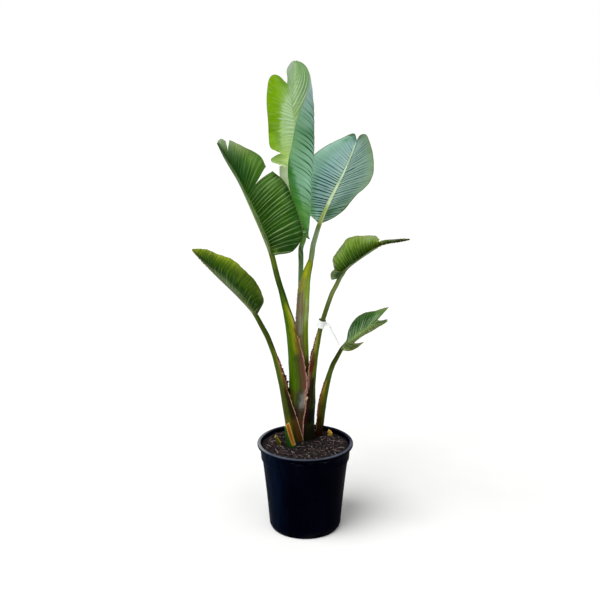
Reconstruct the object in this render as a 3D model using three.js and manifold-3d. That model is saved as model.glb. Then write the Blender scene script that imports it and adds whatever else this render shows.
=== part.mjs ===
// Potted giant white bird of paradise. Six leaves with torn and ribbed blades, three cut
// stubs and a blank plant label stand in a nursery pot that is filled with potting mix.
// Millimetres, +Z up. The origin is the centre of the pot's flat underside, +X is to the
// right and +Y to the back of the plant.

import * as THREE from 'three';
import Module from 'manifold-3d';
import { mergeVertices } from 'three/addons/utils/BufferGeometryUtils.js';

// Pot
const RIM_RADIUS = 150;
const RIM_TOP = 280;
const POT_WALL = 3;
const BASE_RADIUS = 106;
const BASE_CORNER = { radius: 113, height: 12 };
const COLLAR_BOTTOM = { radius: 134, height: 222 };
const COLLAR_STEP = { radius: 138.5, height: 230 };
const COLLAR_TOP = { radius: 141.5, height: 265 };
const POT_SIDES = 48;
const DRAIN_SLOTS = 8;
const DRAIN_SLOT = { width: 15, bottom: 6, top: 17, reach: 24 };

// Potting mix
const SOIL_TOP = 270;
const SOIL_EDGE_DROP = 4;
const SOIL_LUMP = 3.2;
const SOIL_MOUND = { x: -25, y: 15, reach: 60, height: 6 };
const SOIL_RINGS = 8;
const SOIL_SIDES = 32;
const HOLE_SIDES = 20;
const HOLE_TOP = SOIL_TOP + 12;

// Clearance between touching pieces, and the thickness of the blades
const GAP = 0.35;
const BLADE_THICKNESS = 1.2;

// Ribs: the lateral veins stand this far above the blade. The blade's edge waves with this many
// radians from its foot to its tip.
const RIB_RELIEF = 0.7;
const EDGE_WAVE_TURNS = 21;

// Share of a lobe, counted from a tear, over which the tear's edge pulls its neighbours along,
// and share of the midrib where a bulge that fades begins to
const TEAR_FADE = 0.125;
const BULGE_FADE_START = 0.4;

// Stalks: rings from one station to the next, and corners of the outer and inner curves. The
// midrib thins to this share of its foot, has a ring for every few rows of the blade, and this
// half angle of the groove on top.
const RINGS_PER_STATION = 2;
const OUTER_POINTS = 8;
const INNER_POINTS = 4;
const MIDRIB_TIP = 0.15;
const ROWS_PER_MIDRIB_RING = 3;
const MIDRIB_GROOVE = 30;

// Each leaf has
//   opens   the way that the channel of its stalk faces
//   stalk   stations from the foot in the soil to the foot of the blade: centre x, y, z, half
//           width, half depth, half angle of the channel's gap in degrees, wall at the back
//   midrib  points from the foot of the blade to its tip, after the last station
//   left and right, seen on the upper face with the tip up: the lobes of that half of the
//           blade between its tears, each with the share of the midrib where it ends, its
//           edge from foot to tip and how far out the tear that follows it stops; bulge is
//           how far the middle of the half stands off the straight line to its edge, fade the
//           share of the bulge that is gone at the tip, lead below 1 slants the ribs towards
//           the tip, and wave is how far the edge waves
const LEAVES = {
  leaf_a: {
    colour: { stalk: 0x5d7d24, blade: 0x3f6a1c },
    opens: [1, 0, 0],
    stalk: [
      [-9, 35, 246, 50, 30, 80, 6],
      [-17, 35, 290, 45, 29, 80, 6],
      [-27, 34, 330, 37, 27, 80, 7],
      [-47, 31, 400, 27, 23, 80, 9],
      [-61, 23, 450, 20, 17, 75, 9],
      [-80, 9, 510, 11.5, 11, 55, 11],
      [-94, -1, 560, 8.3, 9, 30, 12],
      [-118, -14, 631, 7.8, 8.5, 30, 12],
      [-145, -28, 695, 7, 7, 30, 11],
    ],
    midrib: [[-191, -48, 755], [-252, -72, 820], [-294, -90, 867], [-325, -104, 904]],
    rows: 28,
    columns: 4,
    left: {
      bulge: [0, 0, -5],
      lead: 0.9,
      wave: 0.8,
      lobes: [{
        to: 1,
        edge: [[-152, -44, 704], [-195, -116, 778], [-248, -150, 837], [-289, -140, 876],
          [-322, -110, 902]],
      }],
    },
    right: {
      bulge: [-8, -22, 4],
      lead: 0.85,
      wave: 2.5,
      lobes: [{
        to: 1,
        edge: [[-139, -20, 704], [-125, 8, 732], [-144, 20, 772], [-194, 16, 835],
          [-256, -20, 878], [-305, -75, 903], [-324, -100, 907]],
      }],
    },
  },
  leaf_b: {
    colour: { stalk: 0x57801f, blade: 0x2c5a1c },
    opens: [1, 0, 0],
    stalk: [
      [-13, 35, 246, 35, 22, 80, 5],
      [-15, 35, 330, 38, 22, 80, 5],
      [-7, 36, 400, 46, 22, 80, 6],
      [-5, 36, 455, 46, 21, 80, 7],
      [-12, 35, 530, 41, 20, 80, 8],
      [-24, 32, 590, 32, 18, 80, 10],
      [-36, 26, 640, 25, 15, 75, 12],
      [-56, 14, 700, 13, 11.5, 45, 14],
      [-74, 2, 770, 8.3, 9, 30, 13],
      [-95, -14, 871, 8.3, 8, 30, 13],
    ],
    midrib: [[-113, -26, 921], [-150, -48, 1010], [-189, -68, 1096], [-229, -84, 1166],
      [-247, -92, 1206]],
    rows: 38,
    columns: 5,
    left: {
      bulge: [-2, 0, -3],
      lead: 0.8,
      wave: 0.6,
      lobes: [{
        to: 1,
        edge: [[-98, -22, 877], [-113, -100, 948], [-145, -155, 1034], [-184, -168, 1114],
          [-223, -145, 1174], [-248, -98, 1204]],
      }],
    },
    right: {
      bulge: [0, -16, 6],
      lead: 0.6,
      wave: 3,
      lobes: [
        {
          to: 0.53,
          edge: [[-82, -14, 880], [-67, -16, 878], [-53, -18, 880], [-37, -21, 887],
            [-8, -40, 935], [-19, -50, 989],
            [-39, -56, 1048], [-58, -60, 1093], [-96, -66, 1126]],
          tear: 0.32,
        },
        {
          to: 0.81,
          edge: [[-114, -68, 1138], [-126, -74, 1166], [-149, -78, 1183], [-196, -86, 1205],
            [-216, -88, 1213]],
          tear: 0.5,
        },
        { to: 1, edge: [[-223, -90, 1211], [-235, -92, 1218], [-245, -93, 1212]] },
      ],
    },
  },
  leaf_c: {
    colour: { stalk: 0x4d7a55, blade: 0x7fae5c },
    opens: [1, 0, 0],
    stalk: [
      [-14, 38, 246, 8, 8, 30, 12],
      [-14, 38, 450, 8, 8, 30, 12],
      [-14, 38, 650, 8, 8, 30, 12],
      [-14, 39, 780, 8, 8, 30, 12],
      [-13, 40, 843, 8, 8, 30, 12],
      [-14, 39, 885, 8, 7.5, 30, 12],
      [-10, 37, 923, 7.5, 7, 30, 11],
    ],
    midrib: [[-5, 36, 1001], [-12, 36, 1120], [-28, 34, 1245], [-39, 26, 1328],
      [-35, 14, 1400], [-30, 10, 1430]],
    rows: 34,
    columns: 6,
    left: {
      bulge: [0, 14, 0],
      lead: 1.4,
      wave: 2.5,
      lobes: [
        {
          to: 0.36,
          edge: [[-14, 36, 926], [-38, 40, 965], [-64, 44, 1030], [-76, 44, 1084],
            [-78, 42, 1131]],
          tear: 0.85,
        },
        {
          to: 0.43,
          edge: [[-80, 42, 1137], [-99, 40, 1143], [-102, 38, 1151], [-80, 41, 1166]],
          tear: 0.85,
        },
        {
          to: 0.8,
          edge: [[-80, 40, 1176], [-102, 36, 1184], [-110, 28, 1251], [-111, 22, 1340],
            [-102, 20, 1384], [-90, 20, 1393], [-75, 20, 1389], [-58, 20, 1371]],
          tear: 0.85,
        },
        { to: 1, edge: [[-54, 20, 1377], [-54, 16, 1403], [-42, 12, 1426], [-33, 10, 1432]] },
      ],
    },
    right: {
      bulge: [50, -4, 0],
      fade: 0.65,
      lead: 0.68,
      wave: 2,
      lobes: [{
        to: 1,
        edge: [[14, 12, 916], [-3, -14, 952], [-27, -38, 1011], [-47, -54, 1085],
          [-50, -56, 1150], [-42, -52, 1189], [-22, -40, 1276], [-2, -24, 1331],
          [11, -8, 1378], [7, 2, 1405], [-8, 8, 1424], [-26, 10, 1432]],
      }],
    },
  },
  leaf_d: {
    colour: { stalk: 0x6f8f3a, blade: 0x6f8f86 },
    opens: [-1, 0, 0],
    stalk: [
      [-19, 38, 246, 32, 14, 80, 12],
      [-20.5, 38, 500, 32.5, 14, 80, 12],
      [-23.5, 38, 640, 32.5, 14, 80, 12],
      [-20.5, 38, 700, 32.5, 14, 80, 12],
      [-15, 40, 765, 30, 14, 80, 12],
      [-4, 44, 800, 22, 13, 75, 12],
      [16, 52, 845, 8.5, 9.5, 35, 12],
      [25, 62, 897, 7.5, 8, 30, 12],
      [43, 74, 953, 6.5, 7, 30, 11],
    ],
    midrib: [[66, 86, 1007], [90, 98, 1054], [127, 112, 1129], [155, 124, 1200]],
    rows: 36,
    columns: 5,
    left: {
      bulge: [0, 8, 0],
      lead: 0.72,
      wave: 3,
      lobes: [{
        to: 1,
        edge: [[52, 76, 957], [84, 78, 971], [117, 80, 996], [154, 88, 1037],
          [193, 98, 1076], [208, 106, 1111], [199, 120, 1185], [184, 128, 1219],
          [166, 130, 1218], [158, 126, 1205]],
      }],
    },
    right: {
      bulge: [0, 8, 0],
      lead: 1.1,
      wave: 3,
      lobes: [{
        to: 1,
        edge: [[35, 75, 961], [2, 76, 996], [-7, 82, 1056], [2, 92, 1127], [38, 104, 1171],
          [105, 120, 1206], [148, 132, 1222], [155, 126, 1207]],
      }],
    },
  },
  leaf_e: {
    colour: { stalk: 0x5f7f2c, blade: 0x5a8f1e },
    opens: [-1, 0, 0],
    stalk: [
      [-1, 36, 246, 35, 21, 80, 7],
      [-2, 35, 330, 31.5, 20, 80, 7],
      [4, 33, 400, 29, 18.5, 80, 8],
      [12, 30, 455, 20, 15, 75, 9],
      [21, 24, 530, 17, 12, 70, 10],
      [33, 17, 575, 9.5, 10, 45, 12],
      [45, 6, 640, 7.5, 8, 30, 11],
      [64, -10, 711, 7, 7.5, 30, 11],
      [81, -21, 764, 6.7, 7, 30, 10],
      [95, -28, 805, 6.5, 6.5, 30, 10],
    ],
    midrib: [[121, -40, 843], [151, -52, 869], [183, -64, 892], [209, -74, 910],
      [231, -82, 922], [259, -92, 928], [297, -105, 935]],
    rows: 30,
    columns: 5,
    left: {
      bulge: [-8, -26, 10],
      lead: 0.9,
      wave: 2.5,
      lobes: [
        {
          to: 0.66,
          edge: [[91, -20, 811], [86, -10, 832], [84, 4, 861], [102, 16, 892], [124, 14, 917],
            [164, -4, 929], [201, -30, 936], [216, -60, 925]],
          tear: 0.2,
        },
        {
          to: 1,
          edge: [[224, -76, 921], [232, -79, 926], [258, -90, 929], [296, -104, 937]],
        },
      ],
    },
    right: {
      bulge: [0, 0, -3],
      lead: 0.9,
      wave: 0.8,
      lobes: [
        {
          to: 0.1,
          edge: [[87, -36, 806], [77, -46, 806], [74, -50, 826], [84, -52, 838]],
          tear: 0.2,
        },
        {
          to: 0.66,
          edge: [[112, -62, 836], [130, -105, 862], [159, -126, 888], [190, -120, 908],
            [222, -90, 920]],
          tear: 0.2,
        },
        { to: 1, edge: [[229, -86, 920], [259, -96, 926], [295, -108, 934]] },
      ],
    },
  },
  leaf_f: {
    colour: { stalk: 0x67852d, blade: 0x3f7a3a },
    opens: [-1, 0, 0],
    stalk: [
      [32, 76, 246, 21, 14, 80, 7],
      [40.5, 70, 309, 19.5, 13, 80, 7],
      [47, 64, 372, 20, 12, 75, 8],
      [66, 56, 449, 12, 10, 60, 9],
      [78, 50, 490, 8, 8.5, 35, 10],
      [90, 44, 525, 7.4, 7.5, 30, 10],
      [111, 36, 572, 6.2, 6.2, 30, 9],
    ],
    midrib: [[138, 26, 599], [173, 12, 630], [205, -2, 658], [228, -12, 667],
      [247, -20, 675]],
    rows: 28,
    columns: 4,
    left: {
      bulge: [0, -8, 4],
      lead: 0.8,
      wave: 1.2,
      lobes: [
        {
          to: 0.74,
          edge: [[117, 42, 582], [134, 39, 606], [135, 45, 630], [152, 48, 661],
            [184, 42, 683], [219, 28, 695], [254, 14, 708]],
          tear: 0.08,
        },
        { to: 1, edge: [[222, -4, 671], [236, -12, 673], [246, -17, 678]] },
      ],
    },
    right: {
      bulge: [0, -4, -6],
      lead: 0.85,
      wave: 0.6,
      lobes: [
        {
          to: 0.2,
          edge: [[112, 27, 570], [121, 19, 569], [137, 6, 572], [158, -8, 586],
            [179, -20, 609]],
          tear: 0.12,
        },
        {
          to: 1,
          edge: [[150, -2, 603], [174, -28, 632], [205, -44, 653], [229, -36, 666],
            [246, -24, 673]],
        },
      ],
    },
  },
};

// Sheaths that clasp others: each one is cut clear of the stalks that it holds
const CLASPS = {
  leaf_a: ['leaf_b', 'leaf_d'],
  leaf_b: ['leaf_c', 'leaf_d'],
  leaf_d: ['leaf_c'],
  leaf_e: ['leaf_d', 'leaf_b'],
};

// Stubs of old leaves: foot, half width and half depth, how far the top leans, height of the
// cut's peak and its place to the right of the middle, and the two planes of the cut: how far the
// right one drops per millimetre to the right and to the front, and the left one to the left and
// to the front
const STUBS = {
  cut_stub_front: {
    foot: [-41, -20], half: [16, 13], lean: [-12, 0], top: 347, peak: 4,
    fall: [4.4, 3.0, 0.65, -0.1],
  },
  cut_stub_left: {
    foot: [-75, -9], half: [8, 6], lean: [-16, 0], top: 304, peak: -2,
    fall: [2.4, 0.4, 0.8, 0.4],
  },
  cut_stub_right: {
    foot: [82, 76], half: [9, 7], lean: [-3, 0], top: 288, peak: -4,
    fall: [0.7, 0.3, 1.6, 0.3],
  },
};
const STUB_SIDES = 14;
const STUB_DEPTH = 16;
const STUB_LOWEST_CUT = 7;
const STUB_TAPER = 0.8;

// Blank label: a band round the stalk of leaf_e with a thin tail that runs to leaf_f
const LABEL_HEIGHT = 660;
const LABEL_BAND = 24;
const LABEL_TAIL = [[73, 2, 653], [81, 7, 635], [93, 14, 612], [105, 24, 585]];
const LABEL_TAIL_WIDTH = [12, 2.5];
const LABEL_THICKNESS = 0.8;
const LABEL_RADIUS = 11;
const LABEL_SHIFT = -1.2;
const LABEL_SIDES = 16;
const LABEL_TAIL_STEPS = 10;

// Helpers

const wasm = await Module();
wasm.setup();

const vector = ([x, y, z]) => new THREE.Vector3(x, y, z);
const curveThrough = (points) => new THREE.CatmullRomCurve3(points.map(vector), false, 'centripetal');
const lerp = THREE.MathUtils.lerp;
const smooth = (value, low, high) => THREE.MathUtils.smoothstep(value, low, high);

// One triangle mesh from a list of points and a list of corner triples
function meshOf(points, faces) {
  const geometry = new THREE.BufferGeometry();
  geometry.setAttribute('position', new THREE.Float32BufferAttribute(
    points.flatMap((point) => [point.x, point.y, point.z]), 3));
  geometry.setIndex(faces.flat());
  return geometry;
}

function toSolid(geometry) {
  const bare = geometry.clone();
  bare.deleteAttribute('normal');
  bare.deleteAttribute('uv');
  const merged = mergeVertices(bare, 1e-4);
  return new wasm.Manifold(new wasm.Mesh({
    numProp: 3,
    vertProperties: new Float32Array(merged.attributes.position.array),
    triVerts: new Uint32Array(merged.index.array),
  }));
}

function toGeometry(solid) {
  const mesh = solid.getMesh();
  const geometry = new THREE.BufferGeometry();
  geometry.setAttribute('position', new THREE.BufferAttribute(mesh.vertProperties, 3));
  geometry.setIndex(new THREE.BufferAttribute(mesh.triVerts, 1));
  return geometry;
}

// Largest body of a solid, without the scraps that a cut leaves
function largestBody(solid) {
  return solid.decompose().reduce((best, body) => (body.volume() > best.volume() ? body : best));
}

// Closed body through rings of equally many points; flat is the outline that caps the ends
function loftRings(rings, flat) {
  const count = rings[0].length;
  const faces = [];
  for (let ring = 0; ring + 1 < rings.length; ring++) {
    for (let k = 0; k < count; k++) {
      const next = (k + 1) % count;
      const here = ring * count;
      const above = here + count;
      faces.push([here + k, here + next, above + next]);
      faces.push([here + k, above + next, above + k]);
    }
  }
  const last = (rings.length - 1) * count;
  for (const [a, b, c] of THREE.ShapeUtils.triangulateShape(flat, [])) {
    faces.push([c, b, a]);
    faces.push([last + a, last + b, last + c]);
  }
  return meshOf(rings.flat(), faces);
}

// Thin solid of even thickness about a middle surface of triangles
function thicken(points, faces, thickness) {
  const normals = points.map(() => new THREE.Vector3());
  const edges = new Set();
  for (const [a, b, c] of faces) {
    const normal = points[b].clone().sub(points[a]).cross(points[c].clone().sub(points[a]));
    for (const corner of [a, b, c]) normals[corner].add(normal);
    edges.add(`${a} ${b}`);
    edges.add(`${b} ${c}`);
    edges.add(`${c} ${a}`);
  }
  const offset = (side) => points.map((point, k) => (
    point.clone().addScaledVector(normals[k].clone().normalize(), side * thickness / 2)));
  const count = points.length;
  const all = [...faces];
  for (const [a, b, c] of faces) all.push([count + c, count + b, count + a]);
  for (const [a, b, c] of faces) {
    for (const [from, to] of [[a, b], [b, c], [c, a]]) {
      if (edges.has(`${to} ${from}`)) continue;
      all.push([to, from, count + from]);
      all.push([to, count + from, count + to]);
    }
  }
  return meshOf([...offset(1), ...offset(-1)], all);
}

// Leaves

// Route of a leaf's stalk and midrib, with the share of it where the blade begins
function leafRoute(leaf) {
  const points = [...leaf.stalk.map((station) => station.slice(0, 3)), ...leaf.midrib];
  const curve = curveThrough(points);
  const steps = 600;
  curve.arcLengthDivisions = steps;
  const lengths = curve.getLengths(steps);
  const footT = (leaf.stalk.length - 1) / (points.length - 1);
  return { curve, footT, footShare: lengths[Math.round(footT * steps)] / lengths[steps] };
}

// Lobe of one half that a share of the midrib falls in, and the lobe's start
function lobeAt(half, share) {
  const index = Math.min(half.lobes.length - 1, half.lobes.findIndex((lobe) => share <= lobe.to + 1e-9));
  return index < 0 ? half.lobes.length - 1 : index;
}

const lobeStart = (half, index) => (index > 0 ? half.lobes[index - 1].to : 0);

// Point of a half blade: share runs along the midrib and out from the midrib to the edge
function bladePoint(route, half, index, share, out) {
  const middle = route.curve.getPointAt(lerp(route.footShare, 1, share));
  const lobe = half.lobes[index];
  const start = lobeStart(half, index);
  const along = THREE.MathUtils.clamp((share - start) / (lobe.to - start), 0, 1) ** half.lead;
  lobe.curve ??= curveThrough(lobe.edge);
  const edge = lobe.curve.getPointAt(along);
  const point = middle.clone().lerp(edge, out);
  // Both sides of a tear follow one line from the midrib as far as the tear's end
  const tearPull = (endHere, endThere, tear, distance) => {
    const open = smooth(out, tear, 1.0);
    const fade = Math.max(0, 1 - distance / TEAR_FADE);
    point.addScaledVector(endThere.clone().sub(endHere), 0.5 * fade * (1 - open) * out);
  };
  if (lobe.tear !== undefined) {
    const after = vector(half.lobes[index + 1].edge[0]);
    tearPull(vector(lobe.edge.at(-1)), after, lobe.tear, 1 - along);
  }
  if (index > 0) {
    const before = half.lobes[index - 1];
    tearPull(vector(lobe.edge[0]), vector(before.edge.at(-1)), before.tear, along);
  }
  const tipward = Math.max(0, share - BULGE_FADE_START) / (1 - BULGE_FADE_START);
  const hump = Math.sqrt(Math.max(0, 4 * share * (1 - share)))
    * (1 - (half.fade ?? 0) * tipward ** 2);
  return point.addScaledVector(vector(half.bulge), hump * Math.sin(Math.PI * out));
}

// Upper direction of the blade at its midrib
function bladeUp(leaf, route, share) {
  const at = THREE.MathUtils.clamp(share, 0.04, 0.9);
  const middle = route.curve.getPointAt(lerp(route.footShare, 1, at));
  const tangent = route.curve.getTangentAt(lerp(route.footShare, 1, at));
  const away = (half) => {
    const way = bladePoint(route, half, lobeAt(half, at), at, 0.15).sub(middle);
    return way.addScaledVector(tangent, -way.dot(tangent)).normalize();
  };
  return away(leaf.right).sub(away(leaf.left)).cross(tangent).normalize();
}

// Both halves of a blade as one thin solid. grow widens it all round, to cut its stalk clear.
function bladeGeometry(leaf, route, grow = 0) {
  const { rows, columns } = leaf;
  const points = [];
  const faces = [];
  const add = (point) => points.push(point) - 1;
  const middle = [];
  for (let row = 0; row <= rows; row++) {
    const share = lerp(route.footShare, 1, row / rows);
    const end = row === 0 ? -grow : grow * (row === rows);
    middle.push(add(route.curve.getPointAt(share)
      .addScaledVector(route.curve.getTangentAt(share), end)));
  }
  for (const [half, turn] of [[leaf.left, 1], [leaf.right, -1]]) {
    let previous = null;
    half.lobes.forEach((lobe, index) => {
      const first = Math.round(lobeStart(half, index) * rows);
      const last = Math.round(lobe.to * rows);
      for (let row = first; row <= last; row++) {
        const share = THREE.MathUtils.clamp(row / rows, lobeStart(half, index), lobe.to);
        const tear = index > 0 && row === first ? half.lobes[index - 1].tear : 0;
        const line = [middle[row]];
        for (let column = 1; column <= columns; column++) {
          const out = column / columns;
          if (row === first && index > 0 && out <= tear + 1e-9) {
            line.push(previous[column]);
            continue;
          }
          const point = bladePoint(route, half, index, share, out);
          const across = bladePoint(route, half, index, share, Math.max(0, out - 0.1)).sub(point);
          const along = route.curve.getTangentAt(lerp(route.footShare, 1, share));
          const normal = across.clone().cross(along).normalize();
          const ends = smooth(share, 0, 0.12) * smooth(1 - share, 0, 0.12);
          const rib = (row % 2 === 0 ? RIB_RELIEF : -RIB_RELIEF) * Math.min(1, 3 * (1 - out) + 0.4);
          const wave = half.wave * out ** 3 * Math.sin(share * EDGE_WAVE_TURNS + index);
          point.addScaledVector(normal, (rib + wave) * ends);
          if (column === columns) point.addScaledVector(across.clone().normalize(), -grow);
          if (row === 0) point.addScaledVector(along, -grow);
          if (row === rows) point.addScaledVector(along, grow);
          line.push(add(point));
        }
        if (row > first) {
          for (let column = 0; column < columns; column++) {
            const corners = [previous[column], previous[column + 1], line[column + 1], line[column]];
            if (turn > 0) corners.reverse();
            const [a, b, c, d] = corners;
            faces.push([a, b, c], [a, c, d]);
          }
        }
        previous = line;
      }
    });
  }
  return thicken(points, faces, BLADE_THICKNESS + 2 * grow);
}

// Cross-section of a stalk in its own plane: x towards the channel, y across. The outer curve
// runs round the back, and the inner curve hollows the channel.
function stalkSection(halfWidth, halfDepth, gapAngle, wall, extra) {
  const end = Math.PI - THREE.MathUtils.degToRad(gapAngle);
  const lip = -halfWidth * Math.cos(end);
  const section = [];
  for (let k = 0; k < OUTER_POINTS; k++) {
    const angle = lerp(-end, end, k / (OUTER_POINTS - 1));
    const atLip = k === 0 || k === OUTER_POINTS - 1;
    section.push(new THREE.Vector2(
      atLip ? lip + extra : -(halfWidth + extra) * Math.cos(angle),
      (halfDepth + extra) * Math.sin(angle)));
  }
  const rim = Math.min(1.6, 0.35 * halfDepth * Math.sin(end));
  const reach = halfDepth * Math.sin(end) - rim - extra;
  const depth = Math.max(0.12 * halfWidth, lip + halfWidth - wall);
  for (let k = 0; k < INNER_POINTS; k++) {
    const angle = lerp(Math.PI / 2, -Math.PI / 2, k / (INNER_POINTS - 1));
    section.push(new THREE.Vector2(lip + extra - depth * Math.cos(angle), reach * Math.sin(angle)));
  }
  return section.reverse();
}

// Stalk and midrib in one loft. extra widens it all round, to clear the sheath that clasps it.
function stalkGeometry(leaf, route, extra = 0) {
  const rings = [];
  let flat = null;
  const placeRing = (point, tangent, up, section, drop) => {
    const across = tangent.clone().cross(up).normalize();
    const facing = across.clone().cross(tangent).normalize();
    const centre = point.clone().addScaledVector(facing, -drop);
    rings.push(section.map((corner) => (
      centre.clone().addScaledVector(facing, corner.x).addScaledVector(across, corner.y))));
    flat ??= section;
  };
  const opens = vector(leaf.opens);
  const bladeFacing = bladeUp(leaf, route, 0);
  const spans = leaf.stalk.length - 1;
  const grooveAngle = THREE.MathUtils.degToRad(MIDRIB_GROOVE);
  const topOf = (halfWidth) => BLADE_THICKNESS / 2 + GAP + halfWidth * Math.cos(grooveAngle);
  for (let step = 0; step <= spans * RINGS_PER_STATION; step++) {
    const at = step / RINGS_PER_STATION;
    const lower = Math.min(spans - 1, Math.floor(at));
    const mix = at - lower;
    const [halfWidth, halfDepth, gapAngle, wall] = [3, 4, 5, 6].map((column) => (
      lerp(leaf.stalk[lower][column], leaf.stalk[lower + 1][column], mix)));
    const t = route.footT * at / spans;
    const turn = smooth(at, spans - 2.5, spans);
    const up = opens.clone().lerp(bladeFacing, turn);
    const drop = topOf(halfWidth) * smooth(at, spans - 1.2, spans - 0.2);
    const tangent = step === 0 ? new THREE.Vector3(0, 0, 1) : route.curve.getTangent(t);
    placeRing(route.curve.getPoint(t), tangent, up,
      stalkSection(halfWidth, halfDepth, gapAngle, wall, extra), drop);
  }
  const midribRings = Math.round(leaf.rows / ROWS_PER_MIDRIB_RING);
  const foot = leaf.stalk.at(-1);
  for (let step = 1; step < midribRings; step++) {
    const share = step / midribRings;
    const taper = 1 - (1 - MIDRIB_TIP) * share ** 0.8;
    const halfWidth = foot[3] * taper;
    const halfDepth = foot[4] * taper;
    placeRing(route.curve.getPointAt(lerp(route.footShare, 1, share)),
      route.curve.getTangentAt(lerp(route.footShare, 1, share)),
      bladeUp(leaf, route, share),
      stalkSection(halfWidth, halfDepth, MIDRIB_GROOVE, halfWidth * 1.6, 0), topOf(halfWidth));
  }
  return loftRings(rings, flat);
}

// Plain hole that the foot of a stalk stands in, as wide as the stalk with its channel filled
function footHole(leaf) {
  const foot = leaf.stalk[0];
  const outline = [];
  for (let k = 0; k < HOLE_SIDES; k++) {
    const angle = 2 * Math.PI * k / HOLE_SIDES;
    outline.push(new THREE.Vector2(Math.cos(angle), Math.sin(angle)));
  }
  const top = leaf.stalk[1];
  const ring = (height) => outline.map((corner) => {
    const mix = Math.max(0, (height - foot[2]) / (top[2] - foot[2]));
    const halfWidth = lerp(foot[3], top[3], mix) + 2 * GAP;
    const halfDepth = lerp(foot[4], top[4], mix) + 2 * GAP;
    return new THREE.Vector3(
      lerp(foot[0], top[0], mix) + halfWidth * corner.x,
      lerp(foot[1], top[1], mix) + halfDepth * corner.y,
      height);
  });
  return toSolid(loftRings([ring(foot[2] - GAP), ring(HOLE_TOP)], outline));
}

// Pot and soil

// Outline of the pot from the axis along the underside, up the outside and down the inside
function potGeometry() {
  const outside = [
    [BASE_RADIUS, 0],
    [BASE_CORNER.radius, BASE_CORNER.height],
    [COLLAR_BOTTOM.radius, COLLAR_BOTTOM.height],
    [COLLAR_STEP.radius, COLLAR_STEP.height],
    [COLLAR_TOP.radius, COLLAR_TOP.height],
    [RIM_RADIUS - 2, RIM_TOP - 12],
    [RIM_RADIUS, RIM_TOP - 9],
    [RIM_RADIUS, RIM_TOP - 4],
    [RIM_RADIUS - 3, RIM_TOP],
    [RIM_RADIUS - 7, RIM_TOP],
  ];
  const inside = [
    [COLLAR_TOP.radius - POT_WALL, RIM_TOP - 5],
    [COLLAR_STEP.radius - POT_WALL, COLLAR_STEP.height],
    [COLLAR_BOTTOM.radius - POT_WALL, COLLAR_BOTTOM.height],
    [BASE_CORNER.radius - POT_WALL, BASE_CORNER.height + 2],
    [BASE_RADIUS - POT_WALL, POT_WALL],
  ];
  const outline = [[0, 0], ...outside, ...inside, [0, POT_WALL]];
  const lathe = new THREE.LatheGeometry(
    outline.map(([radius, height]) => new THREE.Vector2(radius, height)), POT_SIDES);
  lathe.rotateX(Math.PI / 2);
  let pot = toSolid(lathe);
  const slotHeight = DRAIN_SLOT.top - DRAIN_SLOT.bottom;
  for (let slot = 0; slot < DRAIN_SLOTS; slot++) {
    const box = new THREE.BoxGeometry(DRAIN_SLOT.reach, DRAIN_SLOT.width, slotHeight);
    box.translate(BASE_CORNER.radius, 0, DRAIN_SLOT.bottom + slotHeight / 2);
    box.rotateZ(2 * Math.PI * (slot + 0.5) / DRAIN_SLOTS);
    pot = pot.subtract(toSolid(box));
  }
  return toGeometry(pot);
}

// Height of the potting mix: a low mound round the clump, a little lower at the wall, with lumps
function soilHeight(x, y) {
  const radius = Math.hypot(x, y);
  const lumps = Math.sin(x * 0.11 + 1.3) * Math.cos(y * 0.13)
    + 0.7 * Math.sin(x * 0.23 - y * 0.19 + 0.6) + 0.5 * Math.cos(x * 0.31 + y * 0.37);
  const away = Math.hypot(x - SOIL_MOUND.x, y - SOIL_MOUND.y) / SOIL_MOUND.reach;
  return SOIL_TOP - SOIL_EDGE_DROP * (radius / RIM_RADIUS) ** 2
    + SOIL_MOUND.height * Math.exp(-(away ** 2)) + SOIL_LUMP * lumps / 2.2;
}

function soilBody() {
  const wall = (corner) => corner.radius - POT_WALL - GAP - 0.2;
  const sides = [
    [BASE_RADIUS - POT_WALL - 4, POT_WALL + GAP],
    [wall(BASE_CORNER), BASE_CORNER.height + 6],
    [wall(COLLAR_BOTTOM), COLLAR_BOTTOM.height],
    [wall(COLLAR_STEP), COLLAR_STEP.height + 2],
  ];
  const edgeRadius = wall(COLLAR_STEP) + 1.4;
  const points = [new THREE.Vector3(0, 0, POT_WALL + GAP)];
  const ringOf = (radius, height) => {
    for (let k = 0; k < SOIL_SIDES; k++) {
      const angle = 2 * Math.PI * k / SOIL_SIDES;
      const x = radius * Math.cos(angle);
      const y = radius * Math.sin(angle);
      points.push(new THREE.Vector3(x, y, height ?? soilHeight(x, y)));
    }
  };
  for (const [radius, height] of sides) ringOf(radius, height);
  for (let ring = SOIL_RINGS; ring >= 1; ring--) ringOf(edgeRadius * ring / SOIL_RINGS);
  points.push(new THREE.Vector3(0, 0, soilHeight(0, 0)));
  const ringCount = sides.length + SOIL_RINGS;
  const faces = [];
  for (let k = 0; k < SOIL_SIDES; k++) {
    const next = (k + 1) % SOIL_SIDES;
    faces.push([0, 1 + next, 1 + k]);
    for (let ring = 0; ring + 1 < ringCount; ring++) {
      const here = 1 + ring * SOIL_SIDES;
      const above = here + SOIL_SIDES;
      faces.push([here + k, here + next, above + next], [here + k, above + next, above + k]);
    }
    const top = 1 + (ringCount - 1) * SOIL_SIDES;
    faces.push([top + k, top + next, points.length - 1]);
  }
  return toSolid(meshOf(points, faces));
}

// Cut stubs

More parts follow.
